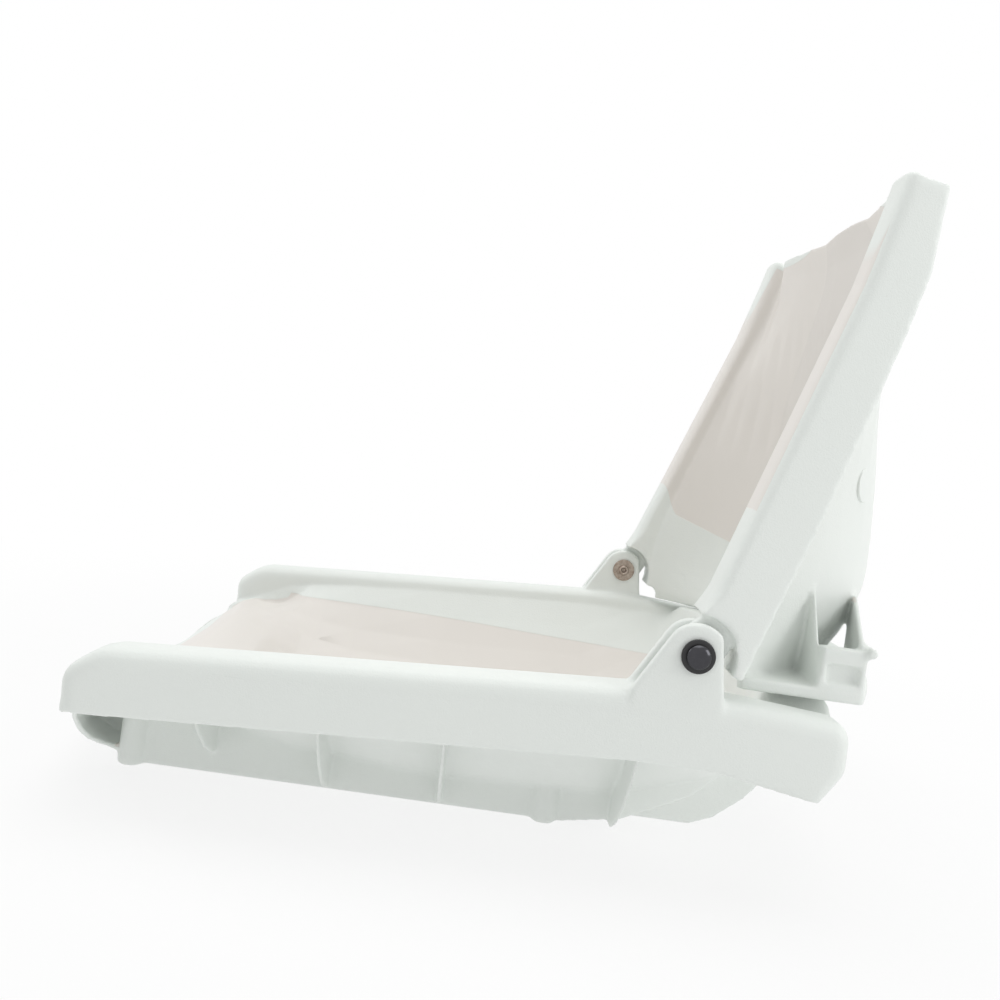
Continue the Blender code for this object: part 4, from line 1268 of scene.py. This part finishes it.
@dataclass
class Studio:
    """A white floor, a white surround, soft lamps and the camera."""

    floor_reach: float = 6.0
    floor_colour: Colour = (0.86, 0.86, 0.86)
    floor_rough: float = 0.9
    floor_glow: float = 0.60
    shadow_reach: Range = (0.25, 1.1)
    shadow_veil: float = 0.80
    surround: float = 0.52
    surround_tint: Colour = (0.985, 1.0, 0.99)
    camera_place: Vector = Vector((0.825, 0.0006, 0.2695))
    camera_roll: float = math.radians(7.95)
    camera_lens: float = 36.0
    camera_sensor: float = 36.0
    camera_shift: Range = (-0.012, -0.059)
    camera_near: float = 0.05
    plain_to: tuple[str, ...] = ("Is Camera Ray", "Is Glossy Ray", "Is Transmission Ray")
    lamps: tuple[tuple[str, Vector, Vector, float, float], ...] = (
        ("ceiling_softbox", Vector((-0.1, 0.1, 2.3)), Vector((0.0, 0.0, 0.1)), 2.4, 27.5),
        ("rear_softbox", Vector((0.8, 1.6, 0.9)), Vector((0.1, 0.15, 0.2)), 0.9, 9.0),
        ("front_softbox", Vector((-0.6, -1.9, 1.2)), Vector((0.0, 0.0, 0.2)), 1.0, 7.0),
    )

    def build(self) -> None:
        """Make the floor, the surround, the lamps and the camera."""
        self._surround()
        self._floor()
        for name, place, target, width, power in self.lamps:
            self._lamp(name, place, target, width, power)
        self._camera()
        bpy.context.scene.view_settings.view_transform = "Standard"

    def _surround(self) -> None:
        """Make the world: white to the camera and to reflections, a plain soft light to the rest."""
        world = bpy.data.worlds.new("studio_surround")
        world.use_nodes = True
        bpy.context.scene.world = world
        made = Bench(world.node_tree)
        made.tree.nodes.clear()
        seen = made.node("ShaderNodeBackground", sockets={"Color": WHITE})
        lit = made.node("ShaderNodeBackground", sockets={"Color": (*self.surround_tint, 1.0),
                                                         "Strength": self.surround})
        mix = made.node("ShaderNodeMixShader", sockets={
            "Fac": made.plain(self.plain_to), 1: made.wire(lit), 2: made.wire(seen)})
        made.node("ShaderNodeOutputWorld", sockets={"Surface": made.wire(mix)})

    def _floor(self) -> None:
        """Make a floor that is white to the camera and keeps a soft shadow near the seat."""
        work = bmesh.new()
        bmesh.ops.create_grid(work, x_segments=2, y_segments=2, size=self.floor_reach)
        mesh = bpy.data.meshes.new("floor")
        work.to_mesh(mesh)
        work.free()
        floor = add("floor", mesh)
        made = Recipe("studio_floor")
        made.finish(self.floor_colour, self.floor_rough)
        x, y, _ = made.axes(made.spot())
        far = ((x ** 2.0 + y ** 2.0) ** 0.5).ramp(*self.shadow_reach)
        seen = made.plain(self.plain_to)
        glow = made.node("ShaderNodeEmission", sockets={"Color": WHITE, "Strength": 1.0})
        veil = self.shadow_veil + (1.0 - self.shadow_veil) * far
        mix = made.node("ShaderNodeMixShader", sockets={
            "Fac": seen * veil + (1 - seen) * self.floor_glow, 1: made.wire(made.shader), 2: made.wire(glow)})
        out = next(node for node in made.tree.nodes if node.type == "OUTPUT_MATERIAL")
        made.feed(out.inputs["Surface"], made.wire(mix))
        floor.data.materials.append(made.material)
        floor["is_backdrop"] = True

    def _lamp(self, name: str, place: Vector, target: Vector, width: float, power: float) -> None:
        """Hang a square soft lamp.

        Args:
            name: the lamp's name.
            place: where it hangs.
            target: the point it faces.
            width: its side.
            power: its power in watts.
        """
        light = bpy.data.lights.new(name, "AREA")
        light.size = width
        light.energy = power
        lamp = bpy.data.objects.new(name, light)
        turn = (target - place).to_track_quat("-Z", "Y").to_matrix().to_4x4()
        lamp.matrix_world = Matrix.Translation(place) @ turn
        bpy.context.scene.collection.objects.link(lamp)

    def _camera(self) -> None:
        """Set the camera at the photograph's place, rolled so that the seat stands nose up."""
        roll = self.camera_roll
        right = Vector((0.0, math.cos(roll), math.sin(roll)))
        up = Vector((0.0, -math.sin(roll), math.cos(roll)))
        away = Vector((1.0, 0.0, 0.0))
        lens = bpy.data.cameras.new("camera")
        lens.lens = self.camera_lens
        lens.sensor_width = self.camera_sensor
        lens.shift_x, lens.shift_y = self.camera_shift
        lens.clip_start = self.camera_near
        camera = bpy.data.objects.new("camera", lens)
        turn = Matrix((right, up, away)).transposed().to_4x4()
        camera.matrix_world = Matrix.Translation(self.camera_place) @ turn
        bpy.context.scene.collection.objects.link(camera)
        bpy.context.scene.camera = camera


def measured(step: Callable[[], Any]) -> list[list[float]]:
    """Return the box that a step measures, as plain lists."""
    return [[float(value) for value in corner] for corner in step()]


def main() -> None:
    """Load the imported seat, dress it piece by piece and light it."""
    logging.basicConfig(level=logging.INFO, format="%(message)s")
    for item in list(bpy.data.objects):
        bpy.data.objects.remove(item, do_unlink=True)
    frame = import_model()
    solid = measured(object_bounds)
    hinge = Vector(frame["joints"][0]["pos_m"])
    back = BackLean(hinge)
    Studio().build()
    SeatMoulding("seat_shell", "seat", Zone.PAN, back).build(frame)
    BackMoulding("back_shell", "back", Zone.BUCKET, back).build(frame)
    chrome = DarkChrome().build("dark_chrome_dome")
    black = BlackPlastic().build("black_washer")
    steel = PlatedSteel(hinge).build("plated_steel_washer")
    brass = Brass().build("brass_insert")
    nylon = Nylon().build("nylon_sleeve")
    plug_plastic = MouldedPlastic(pebble_depth=0.00003, cloud_shade=0.97, rough=0.46, rough_pebbles=0.10)
    smooth = plug_plastic.build("plug_plastic", Zone.NONE, back)
    for side in Side:
        HingeHardware(side, hinge).build(chrome, black, steel)
        BackPlug(side).build(frame, smooth)
        sleeve = frame["nodes"][side.named("hinge_bushing")]
        sleeve.data.materials.clear()
        sleeve.data.materials.append(nylon)
        for row in ("front", "rear"):
            ThreadedInsert(side.named(f"mounting_insert_{row}")).build(brass)
    json.dumps({"cad": solid, "visual": measured(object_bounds)})


if __name__ == "__main__":
    main()
